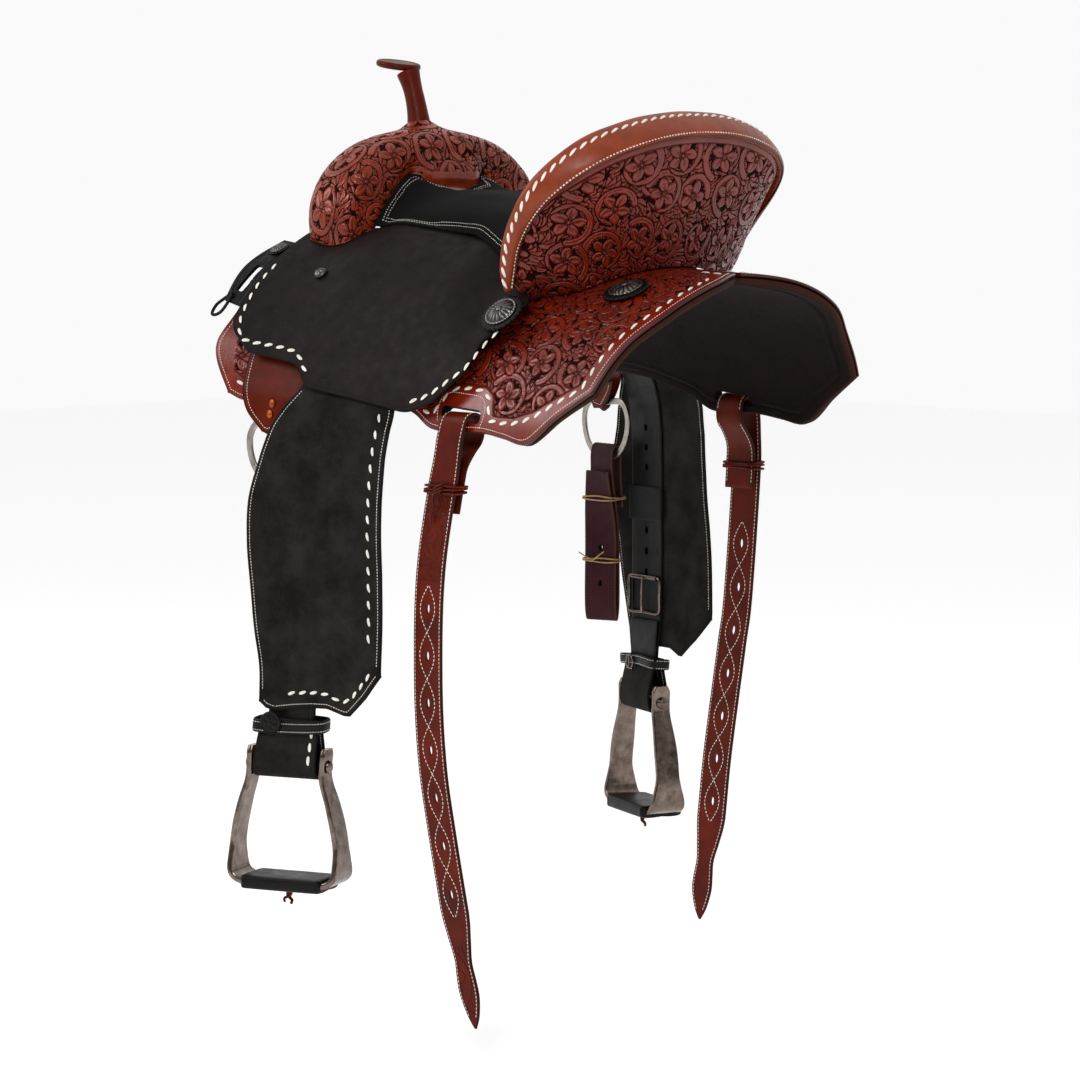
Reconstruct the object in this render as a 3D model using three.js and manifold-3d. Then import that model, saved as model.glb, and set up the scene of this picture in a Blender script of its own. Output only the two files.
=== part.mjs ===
// Western barrel-racing saddle, built as an assembly.
// Millimetres. +X to the horse's head (horn), +Y to the near (left) side, +Z up.
// The origin lies under the seat, where the saddle rests on the horse's back.
import * as THREE from 'three';
import Module from 'manifold-3d';

const wasm = await Module();
wasm.setup();

// ---------- driving dimensions ----------
const GAP = 0.4;                 // clearance between touching pieces
const SKIRT_THICK = 5;
const LINING_THICK = 9;
const JOCKEY_LIFT = 17.5;        // underside of the seat jockey above the skirt
const JOCKEY_THICK = 4;
const SKIRT_DROP = 221;          // vertical semi-axis of the barrel section
const FORK_X = 193;
const FORK_DEPTH = 40;           // half thickness of the swell, front to back
const FORK_RADIAL = 25;          // half thickness of the swell, outwards across its arch
const FORK_INNER = 52;           // the same inwards, down to where the seat's front edge rests
const HORN_CAP_RADIUS = 27;
const ROLL_HALF_WIDTH = 22;
const ROLL_HALF_THICK = 7;
const SEAT_THICK = 7;
const STRAP_WIDTH = 60;          // stirrup leather
const STRAP_THICK = 3;
const FENDER_THICK = 3;
const BILLET_WIDTH = 45;         // rear billets, a little less where they pass the skirt
const BILLET_THICK = 3.6;
const BOLT_Z = -512;
const BOLT_RADIUS = 5;
const STIRRUP_TWIST = 21;        // degrees at the stirrup, toes turned forward
const TREAD_Z = -648;
const RING_BAR_Z = -117;
const RING_X = 152;
const RING_Y = 275.3;
const RING_SPLAY = 9.7;         // degrees, the rigging follows the flare of the skirts

const COLOURS = {
  carved: ['#7c2e1b', 0.45, 0],
  tan: ['#9c4a2b', 0.5, 0],
  black: ['#1d1917', 0.6, 0],
  suede: ['#100e0d', 0.95, 0],
  lining: ['#2c1a14', 0.95, 0],
  wood: ['#8d8a83', 0.8, 0],
  silver: ['#8f8d88', 0.35, 1],
  aluminium: ['#7d7570', 0.4, 1],
  copper: ['#a8552c', 0.4, 1],
  burgundy: ['#3d1620', 0.7, 0],
};

const root = new THREE.Group();
root.name = 'western_saddle';
const rad = THREE.MathUtils.degToRad;
const lerp = THREE.MathUtils.lerp;
const vec = (x, y, z) => new THREE.Vector3(x, y, z);

function add(name, geometry, finish) {
  const [color, roughness, metalness] = COLOURS[finish];
  const material = new THREE.MeshStandardMaterial({ color, roughness, metalness });
  const mesh = new THREE.Mesh(geometry, material);
  mesh.name = name;
  root.add(mesh);
}

function bothSides(build) {
  build('left', 1);
  build('right', -1);
}

// ---------- closed solids ----------
function signedVolume(points, faces) {
  let volume = 0;
  for (const [a, b, c] of faces) {
    volume += points[a].dot(points[b].clone().cross(points[c]));
  }
  return volume;
}

function solid(points, faces) {
  const flip = signedVolume(points, faces) < 0;
  const index = faces.flatMap(([a, b, c]) => (flip ? [a, c, b] : [a, b, c]));
  const geometry = new THREE.BufferGeometry();
  const values = points.flatMap((p) => [p.x, p.y, p.z]);
  geometry.setAttribute('position', new THREE.Float32BufferAttribute(values, 3));
  geometry.setIndex(index);
  geometry.computeVertexNormals();
  return geometry;
}

function quad(faces, a, b, c, d) {
  faces.push([a, b, c]);
  faces.push([a, c, d]);
}

// Two parallel grids joined at their rims: sheets, boards and panels.
function sheetSolid(outer, inner, nu, nv) {
  const points = [];
  const faces = [];
  for (const skin of [outer, inner]) {
    for (let i = 0; i <= nu; i++) {
      for (let j = 0; j <= nv; j++) points.push(skin(i / nu, j / nv));
    }
  }
  const half = (nu + 1) * (nv + 1);
  const at = (layer, i, j) => layer * half + i * (nv + 1) + j;
  for (let i = 0; i < nu; i++) {
    for (let j = 0; j < nv; j++) {
      quad(faces, at(0, i, j), at(0, i + 1, j), at(0, i + 1, j + 1), at(0, i, j + 1));
      quad(faces, at(1, i, j), at(1, i, j + 1), at(1, i + 1, j + 1), at(1, i + 1, j));
    }
  }
  for (let i = 0; i < nu; i++) {
    quad(faces, at(1, i, 0), at(1, i + 1, 0), at(0, i + 1, 0), at(0, i, 0));
    quad(faces, at(0, i, nv), at(0, i + 1, nv), at(1, i + 1, nv), at(1, i, nv));
  }
  for (let j = 0; j < nv; j++) {
    quad(faces, at(0, 0, j), at(0, 0, j + 1), at(1, 0, j + 1), at(1, 0, j));
    quad(faces, at(1, nu, j), at(1, nu, j + 1), at(0, nu, j + 1), at(0, nu, j));
  }
  return solid(points, faces);
}

// Rings of equal count joined in order, capped at both ends unless it loops.
function loftSolid(rings, loops = false) {
  const points = rings.flat();
  const faces = [];
  const n = rings[0].length;
  const last = loops ? rings.length : rings.length - 1;
  for (let i = 0; i < last; i++) {
    const next = (i + 1) % rings.length;
    for (let k = 0; k < n; k++) {
      const l = (k + 1) % n;
      quad(faces, i * n + k, next * n + k, next * n + l, i * n + l);
    }
  }
  if (!loops) {
    capRing(points, faces, rings, 0, false);
    capRing(points, faces, rings, rings.length - 1, true);
  }
  return solid(points, faces);
}

function capRing(points, faces, rings, which, far) {
  const ring = rings[which];
  const n = ring.length;
  const start = which * n;
  const centre = ring.reduce((sum, p) => sum.add(p), vec(0, 0, 0)).divideScalar(n);
  const middle = points.push(centre) - 1;
  for (let k = 0; k < n; k++) {
    const a = start + k;
    const b = start + ((k + 1) % n);
    faces.push(far ? [middle, b, a] : [middle, a, b]);
  }
}

function ellipseRing(centre, u, v, a, b, sides) {
  const ring = [];
  for (let k = 0; k < sides; k++) {
    const t = (2 * Math.PI * k) / sides;
    ring.push(centre.clone().addScaledVector(u, a * Math.cos(t)).addScaledVector(v, b * Math.sin(t)));
  }
  return ring;
}

function rod(from, to, radius, sides = 12) {
  const axis = to.clone().sub(from).normalize();
  const u = Math.abs(axis.z) > 0.9 ? vec(1, 0, 0) : vec(0, 0, 1);
  u.addScaledVector(axis, -u.dot(axis)).normalize();
  const v = axis.clone().cross(u);
  return loftSolid([from, to].map((p) => ellipseRing(p, u, v, radius, radius, sides)));
}

function boxBetween(low, high) {
  const ring = (x) => [vec(x, low.y, low.z), vec(x, high.y, low.z), vec(x, high.y, high.z), vec(x, low.y, high.z)];
  return loftSolid([ring(low.x), ring(high.x)]);
}

function toManifold(geometry) {
  const vertProperties = new Float32Array(geometry.attributes.position.array);
  const triVerts = new Uint32Array(geometry.index.array);
  return new wasm.Manifold(new wasm.Mesh({ numProp: 3, vertProperties, triVerts }));
}

function fromManifold(shape) {
  const mesh = shape.getMesh();
  const geometry = new THREE.BufferGeometry();
  geometry.setAttribute('position', new THREE.Float32BufferAttribute(Array.from(mesh.vertProperties), 3));
  geometry.setIndex(Array.from(mesh.triVerts));
  geometry.computeVertexNormals();
  return geometry;
}

function minus(geometry, ...cutters) {
  let shape = toManifold(geometry);
  for (const cutter of cutters) shape = shape.subtract(toManifold(cutter));
  return fromManifold(shape);
}

function plus(a, b) {
  return fromManifold(toManifold(a).add(toManifold(b)));
}

// A turned piece whose profile is [radius, height] pairs, stood on the point along the axis.
function turned(profile, point, axis, sides = 20) {
  const geometry = new THREE.LatheGeometry(profile.map(([r, h]) => new THREE.Vector2(r, h)), sides);
  const turn = new THREE.Quaternion().setFromUnitVectors(vec(0, 1, 0), axis.clone().normalize());
  geometry.applyQuaternion(turn);
  geometry.translate(point.x, point.y, point.z);
  return geometry;
}

// ---------- outlines ----------
function alongLine(points, u, scale = 4.1) {
  const vectors = points.map(([x, t]) => new THREE.Vector2(x, t));
  const lengths = [0];
  for (let i = 1; i < vectors.length; i++) {
    const step = vectors[i].clone().sub(vectors[i - 1]);
    lengths.push(lengths[i - 1] + Math.hypot(step.x, step.y * scale));
  }
  const target = u * lengths[lengths.length - 1];
  let k = 1;
  while (k < lengths.length - 1 && lengths[k] < target) k++;
  const share = (target - lengths[k - 1]) / (lengths[k] - lengths[k - 1]);
  return vectors[k - 1].clone().lerp(vectors[k], share);
}

// Fills four border lines that meet at their ends.
function coons({ top, bottom, rear, front }, scale) {
  const on = (line, u) => alongLine(line, u, scale);
  return (u, v) => {
    const across = on(top, u).multiplyScalar(1 - v).addScaledVector(on(bottom, u), v);
    const down = on(rear, v).multiplyScalar(1 - u).addScaledVector(on(front, v), u);
    const near = on(top, 0).multiplyScalar(1 - u).addScaledVector(on(top, 1), u);
    const far = on(bottom, 0).multiplyScalar(1 - u).addScaledVector(on(bottom, 1), u);
    return across.add(down).sub(near.multiplyScalar(1 - v)).sub(far.multiplyScalar(v));
  };
}

function smooth(x) {
  const t = Math.min(1, Math.max(0, x));
  return t * t * (3 - 2 * t);
}

// ---------- barrel surface: x along the back, t degrees down the side, h outwards ----------
function barrel(x, t, h, side) {
  const u = x / 300;
  const width = 250 + 30 * u + 34 * u * u;
  const ridge = 80 + 30 * u + 10 * u * u;
  const a = rad(t);
  const normal = new THREE.Vector2(SKIRT_DROP * Math.sin(a), width * Math.cos(a)).normalize();
  const y = width * Math.sin(a) + h * normal.x;
  return vec(x, side * y, ridge - SKIRT_DROP * (1 - Math.cos(a)) + h * normal.y);
}

function barrelNormal(x, t, side) {
  return barrel(x, t, 1, side).sub(barrel(x, t, 0, side)).normalize();
}

// Rise of the jockey over the bar and the stirrup leather, fading to the front and rear.
function jockeyRise(x, t) {
  const rear = smooth((x + 110) / 70);
  const front = smooth((185 - x) / 95);
  const height = x < 0 ? lerp(1, 22, rear) : lerp(2, 22, front);
  return height * smooth((66 - t) / 36);
}

function jockeyUnder(x, t) {
  return JOCKEY_LIFT + jockeyRise(x, t);
}

function wrap(outline, low, high, side, nu, nv) {
  const fill = coons(outline);
  const height = (h, p) => (typeof h === 'function' ? h(p.x, p.y) : h);
  const skin = (h) => (u, v) => {
    const p = fill(u, v);
    return barrel(p.x, p.y, height(h, p), side);
  };
  return sheetSolid(skin(high), skin(low), nu, nv);
}

// ---------- skirts ----------
const SKIRT = {
  top: [[-306, 1], [-150, 1], [-20, 2], [60, 8], [150, 18], [215, 27], [238, 36]],
  rear: [[-306, 1], [-331, 14], [-331, 33], [-310, 48], [-296, 64]],
  bottom: [[-296, 64], [-252, 72.6], [-210, 81.4], [-172, 80.8], [-140, 80.2], [-62, 81.4], [-34, 78], [-8, 76.5], [40, 74.8],
    [120, 76], [180, 81], [205, 83.7], [227, 82.5]],
  front: [[238, 36], [253, 60], [257, 69.5], [227, 82.5]],
};
bothSides((name, side) => {
  const slot = boxBetween(vec(-134, side * 190, -107), vec(-75, side * 275, -82));
  add(`skirt_${name}`, minus(wrap(SKIRT, -SKIRT_THICK, 0, side, 22, 7), slot), 'carved');
  const low = -SKIRT_THICK - GAP - LINING_THICK;
  add(`skirt_lining_${name}`, minus(wrap(SKIRT, low, -SKIRT_THICK - GAP, side, 22, 7), slot), 'lining');
});

// ---------- tree bars ----------
const BAR = {
  top: [[-172, 9], [-60, 9], [80, 14], [232, 24]],
  rear: [[-172, 9], [-160, 22]],
  bottom: [[-160, 22], [-118, 29], [-82, 47], [60, 52], [185, 50], [228, 42]],
  front: [[232, 24], [228, 42]],
};
const barTop = (x, t) => Math.min(20, jockeyUnder(x, t) - 1.2) * (0.55 + 0.45 * smooth((56 - t) / 12));
bothSides((name, side) => {
  add(`tree_bar_${name}`, wrap(BAR, 1.6, barTop, side, 14, 5), 'wood');
});

// ---------- seat jockeys ----------
const JOCKEY = {
  top: [[-139, 39], [-104, 34.5], [-60, 27], [-10, 24.5], [60, 24.5], [110, 27], [160, 33], [200, 34], [230, 33]],
  rear: [[-139, 39], [-148, 41], [-146, 44.6]],
  bottom: [[-146, 44.6], [-136, 50.5], [-121, 56], [-114, 64.3], [-79, 74], [-39, 78.3], [108, 76.4],
    [129, 71.3], [196, 70.5]],
  front: [[230, 33], [230, 55], [228, 64], [196, 70.5]],
};
const jockeyTop = (x, t) => jockeyUnder(x, t) + JOCKEY_THICK;
const JOCKEY_SPACE = {
  top: [[-160, 14], [250, 14]],
  rear: [[-160, 14], [-160, 80]],
  bottom: [[-160, 80], [250, 80]],
  front: [[250, 14], [250, 80]],
};
function jockeySpace(side) {
  return wrap(JOCKEY_SPACE, -40, (x, t) => jockeyTop(x, t) + 2.4, side, 14, 9);
}
bothSides((name, side) => {
  add(`seat_jockey_${name}`, wrap(JOCKEY, jockeyUnder, jockeyTop, side, 20, 7), 'black');
});

// ---------- cantle ----------
const RIM_HALF = [[-246, 0, 225], [-245, 55, 222], [-240, 98, 214], [-230, 138, 201], [-217, 165, 184],
  [-201, 182, 164], [-183, 191, 141], [-164, 190, 115], [-147, 184, 88], [-137, 177, 68], [-132, 170, 53]];
const rimPoints = [...RIM_HALF.slice(1).reverse().map(([x, y, z]) => vec(x, -y, z)),
  ...RIM_HALF.map(([x, y, z]) => vec(x, y, z))];
const RIM = new THREE.CatmullRomCurve3(rimPoints);

// v runs from -1 at the far end, over the crown, to +1 at the near end.
function rim(v) {
  return RIM.getPointAt((v + 1) / 2);
}

function rimFrame(v) {
  const tangent = RIM.getTangentAt((v + 1) / 2);
  const outwards = vec(0, -tangent.z, tangent.y).normalize();
  const up = outwards.clone().multiplyScalar(0.8).add(vec(-0.6, 0, 0));
  up.addScaledVector(tangent, -up.dot(tangent)).normalize();
  const wide = tangent.clone().cross(up).normalize();
  return { tangent, outwards, up, wide };
}

function rollRing(v, a, b) {
  const frame = rimFrame(v);
  return ellipseRing(rim(v), frame.wide, frame.up, a, b, 10);
}
const rollRings = [];
for (let i = 0; i <= 30; i++) {
  const v = lerp(-1, 1, i / 30);
  const end = Math.min(1, 0.55 + 9 * (1 - Math.abs(v)));
  rollRings.push(rollRing(v, ROLL_HALF_WIDTH * end, ROLL_HALF_THICK));
}
add('cantle_roll', loftSolid(rollRings), 'tan');

const BASE_HALF = [[-214, 1], [-211, 8], [-202, 16], [-184, 26], [-158, 37]];
function cantleFoot(v) {
  const side = v < 0 ? -1 : 1;
  const p = alongLine(BASE_HALF, Math.min(1, Math.abs(v)));
  return barrel(p.x, Math.max(0, p.y), 2, side);
}

function backTop(v) {
  return rim(v).add(vec(-14, 0, 0)).addScaledVector(rimFrame(v).outwards, -15);
}

function cantleWall(v, w) {
  return cantleFoot(v).lerp(backTop(v), w);
}

function unitNormal(surface, u, v) {
  const step = 0.004;
  const du = surface(Math.min(1, u + step), v).sub(surface(Math.max(0, u - step), v));
  const dv = surface(u, Math.min(1, v + step)).sub(surface(u, Math.max(0, v - step)));
  return du.cross(dv).normalize();
}

function offset(surface, distance) {
  return (u, v) => surface(u, v).addScaledVector(unitNormal(surface, u, v), distance);
}
const wallGrid = (u, w) => cantleWall(lerp(-0.985, 0.985, u), w);
const wallSign = Math.sign(-unitNormal(wallGrid, 0.5, 0.5).x);
add('cantle_back', sheetSolid(wallGrid, offset(wallGrid, -3.2 * wallSign), 24, 4), 'carved');
const boardGrid = (u, w) => cantleWall(lerp(-0.84, 0.84, u), lerp(0.04, 0.97, w));
add('tree_cantle', sheetSolid(offset(boardGrid, -4.4 * wallSign), offset(boardGrid, -13 * wallSign), 16, 3), 'wood');

// ---------- seat ----------
function seatRear(v) {
  return rim(v).add(vec(16, 0, 0)).addScaledVector(rimFrame(v).outwards, -13);
}
const SEAT_LINES = [
  { front: [[148, 132, 110], [112, 131, 99], [45, 130, 96], [-20, 131, 91], [-62, 138, 80]], rear: [0.95, 0.87, 0.78] },
  { front: [[156, 98, 145], [108, 104, 128], [42, 108, 126], [-28, 114, 124], [-84, 122, 130],
    [-128, 132, 150], [-164, 138, 172]], rear: [0.5] },
  { front: [[163, 55, 170], [104, 60, 146], [40, 66, 143], [-30, 72, 139], [-95, 76, 143],
    [-150, 78, 164], [-192, 76, 194]], rear: [0.27] },
  { front: [[155, 0, 149], [100, 0, 147], [40, 0, 143], [-30, 0, 138], [-95, 0, 142],
    [-150, 0, 163], [-200, 0, 198]], rear: [0] },
];
function seatLine({ front, rear }, side) {
  const points = front.map(([x, y, z]) => vec(x, side * y, z));
  for (const v of rear) points.push(seatRear(side * v));
  return new THREE.CatmullRomCurve3(points);
}
const nearLines = SEAT_LINES.map((line) => seatLine(line, 1));
const farLines = SEAT_LINES.slice(0, 3).reverse().map((line) => seatLine(line, -1));
const seatCurves = [...nearLines, ...farLines];
const seatGrid = (u, w) => {
  const across = new THREE.CatmullRomCurve3(seatCurves.map((curve) => curve.getPoint(u)));
  return across.getPoint(w);
};
const seatSign = Math.sign(unitNormal(seatGrid, 0.5, 0.5).z);
const seatSolid = sheetSolid(seatGrid, offset(seatGrid, -SEAT_THICK * seatSign), 13, 12);

// ---------- fork, swell and horn ----------
const FORK_HALF = [[0, 197], [45, 194], [92, 182], [127, 158], [144, 131], [146, 104], [138, 78], [126, 60]];
const forkPoints = [...FORK_HALF.slice(1).reverse().map(([y, z]) => vec(FORK_X, -y, z)),
  ...FORK_HALF.map(([y, z]) => vec(FORK_X, y, z))];
const FORK = new THREE.CatmullRomCurve3(forkPoints);
// How far the swell's rear face stands back from the arch, by the distance from its middle (0) to its foot (1).
const FORK_REAR = [[0, 51], [0.17, 51], [0.21, 47], [0.245, 30], [0.29, 30], [0.5, 38.5], [0.74, 43.5], [0.82, 43],
  [0.95, 34], [1, 33]];
function between(table, x) {
  const k = Math.max(1, table.findIndex(([at]) => at >= x));
  const [[x0, y0], [x1, y1]] = [table[k - 1], table[k]];
  return y0 + ((y1 - y0) * (x - x0)) / (x1 - x0);
}
function forkRing(centre, across, radial, share, shrink, sides) {
  const ring = [];
  const inner = FORK_RADIAL + (FORK_INNER - FORK_RADIAL) * smooth((0.9 - share) / 0.24);
  for (let k = 0; k < sides; k++) {
    const t = (2 * Math.PI * k) / sides;
    const c = Math.cos(t);
    const d = Math.sin(t);
    const power = d > 0.01 ? 4 : 2;
    const size = (Math.abs(c) ** power + Math.abs(d) ** power) ** (-1 / power);
    const front = FORK_DEPTH - 7 * share ** 3;
    const depth = c < 0 && d > 0 ? lerp(front, between(FORK_REAR, share), smooth(1.6 * d)) : front;
    const radius = d > 0 ? inner : FORK_RADIAL;
    ring.push(centre.clone().addScaledVector(across, c * size * (depth - shrink))
      .addScaledVector(radial, d * size * (radius - shrink)));
  }
  return ring;
}
function forkSolid(shrink, sides, steps) {
  const rings = [];
  for (let i = 0; i <= steps; i++) {
    const point = FORK.getPointAt(i / steps);
    const across = vec(1, 0, 0);
    const radial = FORK.getTangentAt(i / steps).cross(across).normalize();
    rings.push(forkRing(point, across, radial, Math.abs(2 * (i / steps) - 1), shrink, sides));
  }
  return loftSolid(rings);
}
const HORN_PATH = [vec(203, 0, 205), vec(204, 0, 226), vec(208, 0, 248), vec(214, 0, 268), vec(223, 0, 291)];
const CAP_CENTRE = vec(240, 0, 296);
const CAP_AXIS = vec(-0.17, 0, 0.985).normalize();
const CAP_UNDER = CAP_CENTRE.clone().addScaledVector(CAP_AXIS, -1);
function hornLoft(radii, grow = 0) {
  const curve = new THREE.CatmullRomCurve3(HORN_PATH);
  const rings = [];
  const steps = radii.length - 1;
  radii.forEach((radius, i) => {
    const tangent = curve.getTangent(i / steps);
    const u = vec(0, 1, 0);
    rings.push(ellipseRing(curve.getPoint(i / steps), u, tangent.clone().cross(u), radius + grow, radius + grow, 10));
  });
  return loftSolid(rings);
}
const capBlock = (() => {
  const base = CAP_UNDER.clone().addScaledVector(CAP_AXIS, -GAP);
  return rod(base, base.clone().addScaledVector(CAP_AXIS, 40), 60, 8);
})();
const HORN_RADII = [18, 16.5, 14.4, 13, 12, 11.6, 11.4, 12, 14];
const POST_RADII = [8, 8, 8, 8, 8, 8, 8, 8, 8];
const swellFull = forkSolid(0, 14, 24);
const jockeys = [jockeySpace(1), jockeySpace(-1)];
const barBlocks = [1, -1].map((side) => wrap(BAR, -40, (x, t) => barTop(x, t) + GAP, side, 8, 4));
const coverParts = [forkSolid(3, 14, 24), hornLoft(POST_RADII, GAP), ...jockeys, ...barBlocks];
add('swell_cover', minus(swellFull, ...coverParts), 'carved');
const core = plus(forkSolid(3.5, 14, 24), minus(hornLoft(POST_RADII), capBlock));
add('tree_fork', minus(core, ...barBlocks, ...jockeys), 'wood');
add('horn_cover', minus(hornLoft(HORN_RADII), forkSolid(-GAP, 14, 24), hornLoft(POST_RADII, GAP), capBlock), 'tan');
const CAP_PROFILE = [[0, 0], [24, 0], [HORN_CAP_RADIUS, 2.5], [HORN_CAP_RADIUS, 6.5], [24, 9], [0, 9]];
add('horn_cap', turned(CAP_PROFILE, CAP_UNDER, CAP_AXIS, 28), 'carved');

add('seat_cover', minus(seatSolid, ...jockeys, forkSolid(-GAP, 14, 24)), 'suede');
const groundGrid = (u, w) => seatGrid(lerp(0.1, 0.86, u), lerp(0.24, 0.76, w));
add('ground_seat', sheetSolid(offset(groundGrid, -(SEAT_THICK + 2.5) * seatSign),
  offset(groundGrid, -(SEAT_THICK + 8) * seatSign), 9, 6), 'tan');

// ---------- conchos and buttons ----------
const CONCHO_PROFILE = [[0, 0], [24, 0], [24, 3], [18, 3.2], [18, 4.5], [10, 8], [0, 9.5]];
const BUTTON_PROFILE = [[0, 0], [8.5, 0], [8.5, 1.6], [5, 4.2], [0, 5]];
function fixed(profile, x, t, h, side, sides) {
  return turned(profile, barrel(x, t, h + 2, side), barrelNormal(x, t, side), sides);
}
bothSides((name, side) => {
  add(`rear_concho_${name}`, fixed(CONCHO_PROFILE, -239, 26.5, 0, side, 16), 'silver');
  add(`seat_concho_${name}`, fixed(CONCHO_PROFILE, -131, 47.5, jockeyTop(-131, 47.5) + 1.4, side, 16), 'silver');
  add(`jockey_button_${name}`, fixed(BUTTON_PROFILE, 151, 45, jockeyTop(151, 45) - 0.4, side, 12), 'silver');
});

// ---------- rigging: folded plate, rivets and ring ----------
const PLATE = {
  top: [[114, 67], [206, 67]],
  rear: [[114, 67], [115, 76], [132, 84], [152, 90.5]],
  bottom: [[152, 90.5], [172, 91.5]],
  front: [[206, 67], [204, 78], [194, 86], [172, 91.5]],
};
const FOLD = {
  top: [[130, 80.5], [182, 84.6]],
  rear: [[130, 80.5], [136, 84]],
  bottom: [[136, 84], [177, 86.2]],
  front: [[182, 84.6], [177, 86.2]],
};
const plateLow = (x, t) => 1.8 + 3.2 * smooth((t - 74) / 8);
const plateHigh = (x, t) => plateLow(x, t) + 3.2;
const backing = {
  ...PLATE,
  top: [[126, 80], [162, 82.6], [190, 85.3]],
  rear: [[126, 80], [134, 84.4], [152, 90.5]],
  front: [[190, 85.3], [184, 87.6], [172, 91.5]],
};
const RIVETS = [[159, 82.9], [161, 86]];
function rivetAxis(x, t, side) {
  return [barrel(x, t, -9, side), barrel(x, t, 12, side)];
}
bothSides((name, side) => {
  const outer = wrap(PLATE, plateLow, plateHigh, side, 8, 7);
  const inner = wrap(backing, -5.2, -2, side, 6, 4);
  const bridge = wrap(FOLD, -4, (x, t) => plateLow(x, t) + 1, side, 3, 2);
  const folded = plus(plus(outer, inner), bridge);
  const holes = RIVETS.map(([x, t]) => rod(...rivetAxis(x, t, side), 2.5, 8));
  add(`rigging_plate_${name}`, minus(folded, ...holes), 'tan');
  RIVETS.forEach(([x, t], i) => {
    const low = barrel(x, t, -9, side);
    const head = plateHigh(x, t) + 10;
    const profile = [[0, 0], [3.6, 0.8], [4.6, 2.4], [2, 2.4], [2, head], [4.6, head], [3.6, head + 1.6], [0, head + 2.4]];
    add(`rigging_rivet_${i + 1}_${name}`, turned(profile, low, barrelNormal(x, t, side), 10), 'copper');
  });
  add(`rigging_ring_${name}`, ringSolid(side), 'silver');
});

function rigging(side, untwist = 0) {
  return (a, out, z) => {
    const turn = rad(RING_SPLAY - untwist * smooth((-z - 192) / 100));
    const x = RING_X + a * Math.cos(turn) - out * Math.sin(turn);
    const y = RING_Y + a * Math.sin(turn) + out * Math.cos(turn);
    return vec(x, side * y, z);
  };
}

function ringSolid(side) {
  const outline = [[-32, 0], [0, 0], [32, 0], [43, -13], [44, -32], [36, -53], [20, -66], [-20, -66],
    [-36, -53], [-44, -32], [-43, -13]];
  const place = rigging(side);
  const curve = new THREE.CatmullRomCurve3(outline.map(([a, z]) => place(a, 0, RING_BAR_Z + z)), true);
  const out = place(0, 1, 0).sub(place(0, 0, 0));
  const rings = [];
  for (let i = 0; i < 30; i++) {
    const tangent = curve.getTangentAt(i / 30);
    const inPlane = tangent.clone().cross(out);
    const centre = curve.getPointAt(i / 30);
    const corner = (s, t) => centre.clone().addScaledVector(inPlane, 4 * s).addScaledVector(out, 1.6 * t);
    rings.push([corner(1, 1), corner(1, -1), corner(-1, -1), corner(-1, 1)]);
  }
  return loftSolid(rings, true);
}

// ---------- straps: a flat ribbon along a path in a vertical plane ----------
// path: [out, z] pairs; place(a, out, z) puts a point at a across the strap.
function strap(path, place, halfWidth, thick, count) {
  const curve = new THREE.CatmullRomCurve3(path.map(([out, z]) => vec(0, out, z)), false, 'centripetal');
  const rings = [];
  for (let i = 0; i <= count; i++) {
    const p = curve.getPointAt(i / count);
    const tangent = curve.getTangentAt(i / count);
    const normal = new THREE.Vector2(-tangent.z, tangent.y).multiplyScalar(thick / 2);
    const w = typeof halfWidth === 'function' ? halfWidth(i / count, p.z) : halfWidth;
    rings.push([
      place(-w, p.y + normal.x, p.z + normal.y),
      place(w, p.y + normal.x, p.z + normal.y),
      place(w, p.y - normal.x, p.z - normal.y),
      place(-w, p.y - normal.x, p.z - normal.y),
    ]);
  }
  return loftSolid(rings);
}

// A flat band looped round (a, out) at one height.
function band(outline, place, z, height, thick, count) {
  const curve = new THREE.CatmullRomCurve3(outline.map(([a, out]) => vec(a, out, 0)), true);
  const rings = [];
  for (let i = 0; i < count; i++) {
    const p = curve.getPointAt(i / count);
    const tangent = curve.getTangentAt(i / count);
    const nx = (-tangent.y * thick) / 2;
    const ny = (tangent.x * thick) / 2;
    const corner = (s, dz) => place(p.x + s * nx, p.y + s * ny, z + dz);
    rings.push([corner(1, height / 2), corner(-1, height / 2), corner(-1, -height / 2), corner(1, -height / 2)]);
  }
  return loftSolid(rings, true);
}

function bandOutline(halfWidth, low, high) {
  const w = halfWidth;
  return [[-w + 3, low], [0, low], [w - 3, low], [w, (low + high) / 2], [w - 3, high], [0, high], [-w + 3, high],
    [-w, (low + high) / 2]];
}

// ---------- off-side billet, folded over the right ring ----------
const OFF_BILLET_PATH = [[-14, -204], [-14, -300], [-14, -378], [-10, -391], [-6, -378], [-6, -280], [-6.6, -205],
  [-6.8, -184], [-4.5, -174], [0, -171], [4.5, -174], [6.8, -184], [6.8, -205], [6.4, -250]];
const offPlace = rigging(-1, 26);
add('off_billet', strap(OFF_BILLET_PATH, offPlace, 22, 3.2, 44), 'burgundy');
add('off_billet_band', band(bandOutline(27.5, -18.5, 11.5), offPlace, -236, 9, 2, 14), 'tan');

// ---------- stirrup leather, fender and stirrup ----------
const HANG_OUT = [[-40, 253], [-56, 257], [-76, 262.5], [-96, 272.5], [-117, 279.5], [-150, 285], [-200, 288.5],
  [-300, 292.5], [-520, 297], [-800, 297]];
const HANG_FORE = { 1: 31, '-1': 14 };
const HANG_RISE = { 1: 4, '-1': 22 };   // the off leather is buckled a hole shorter
function hangOut(z) {
  let k = 1;
  while (k < HANG_OUT.length - 1 && HANG_OUT[k][0] > z) k++;
  const [z0, y0] = HANG_OUT[k - 1];
  const [z1, y1] = HANG_OUT[k];
  return lerp(y0, y1, (z - z0) / (z1 - z0));
}

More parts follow.
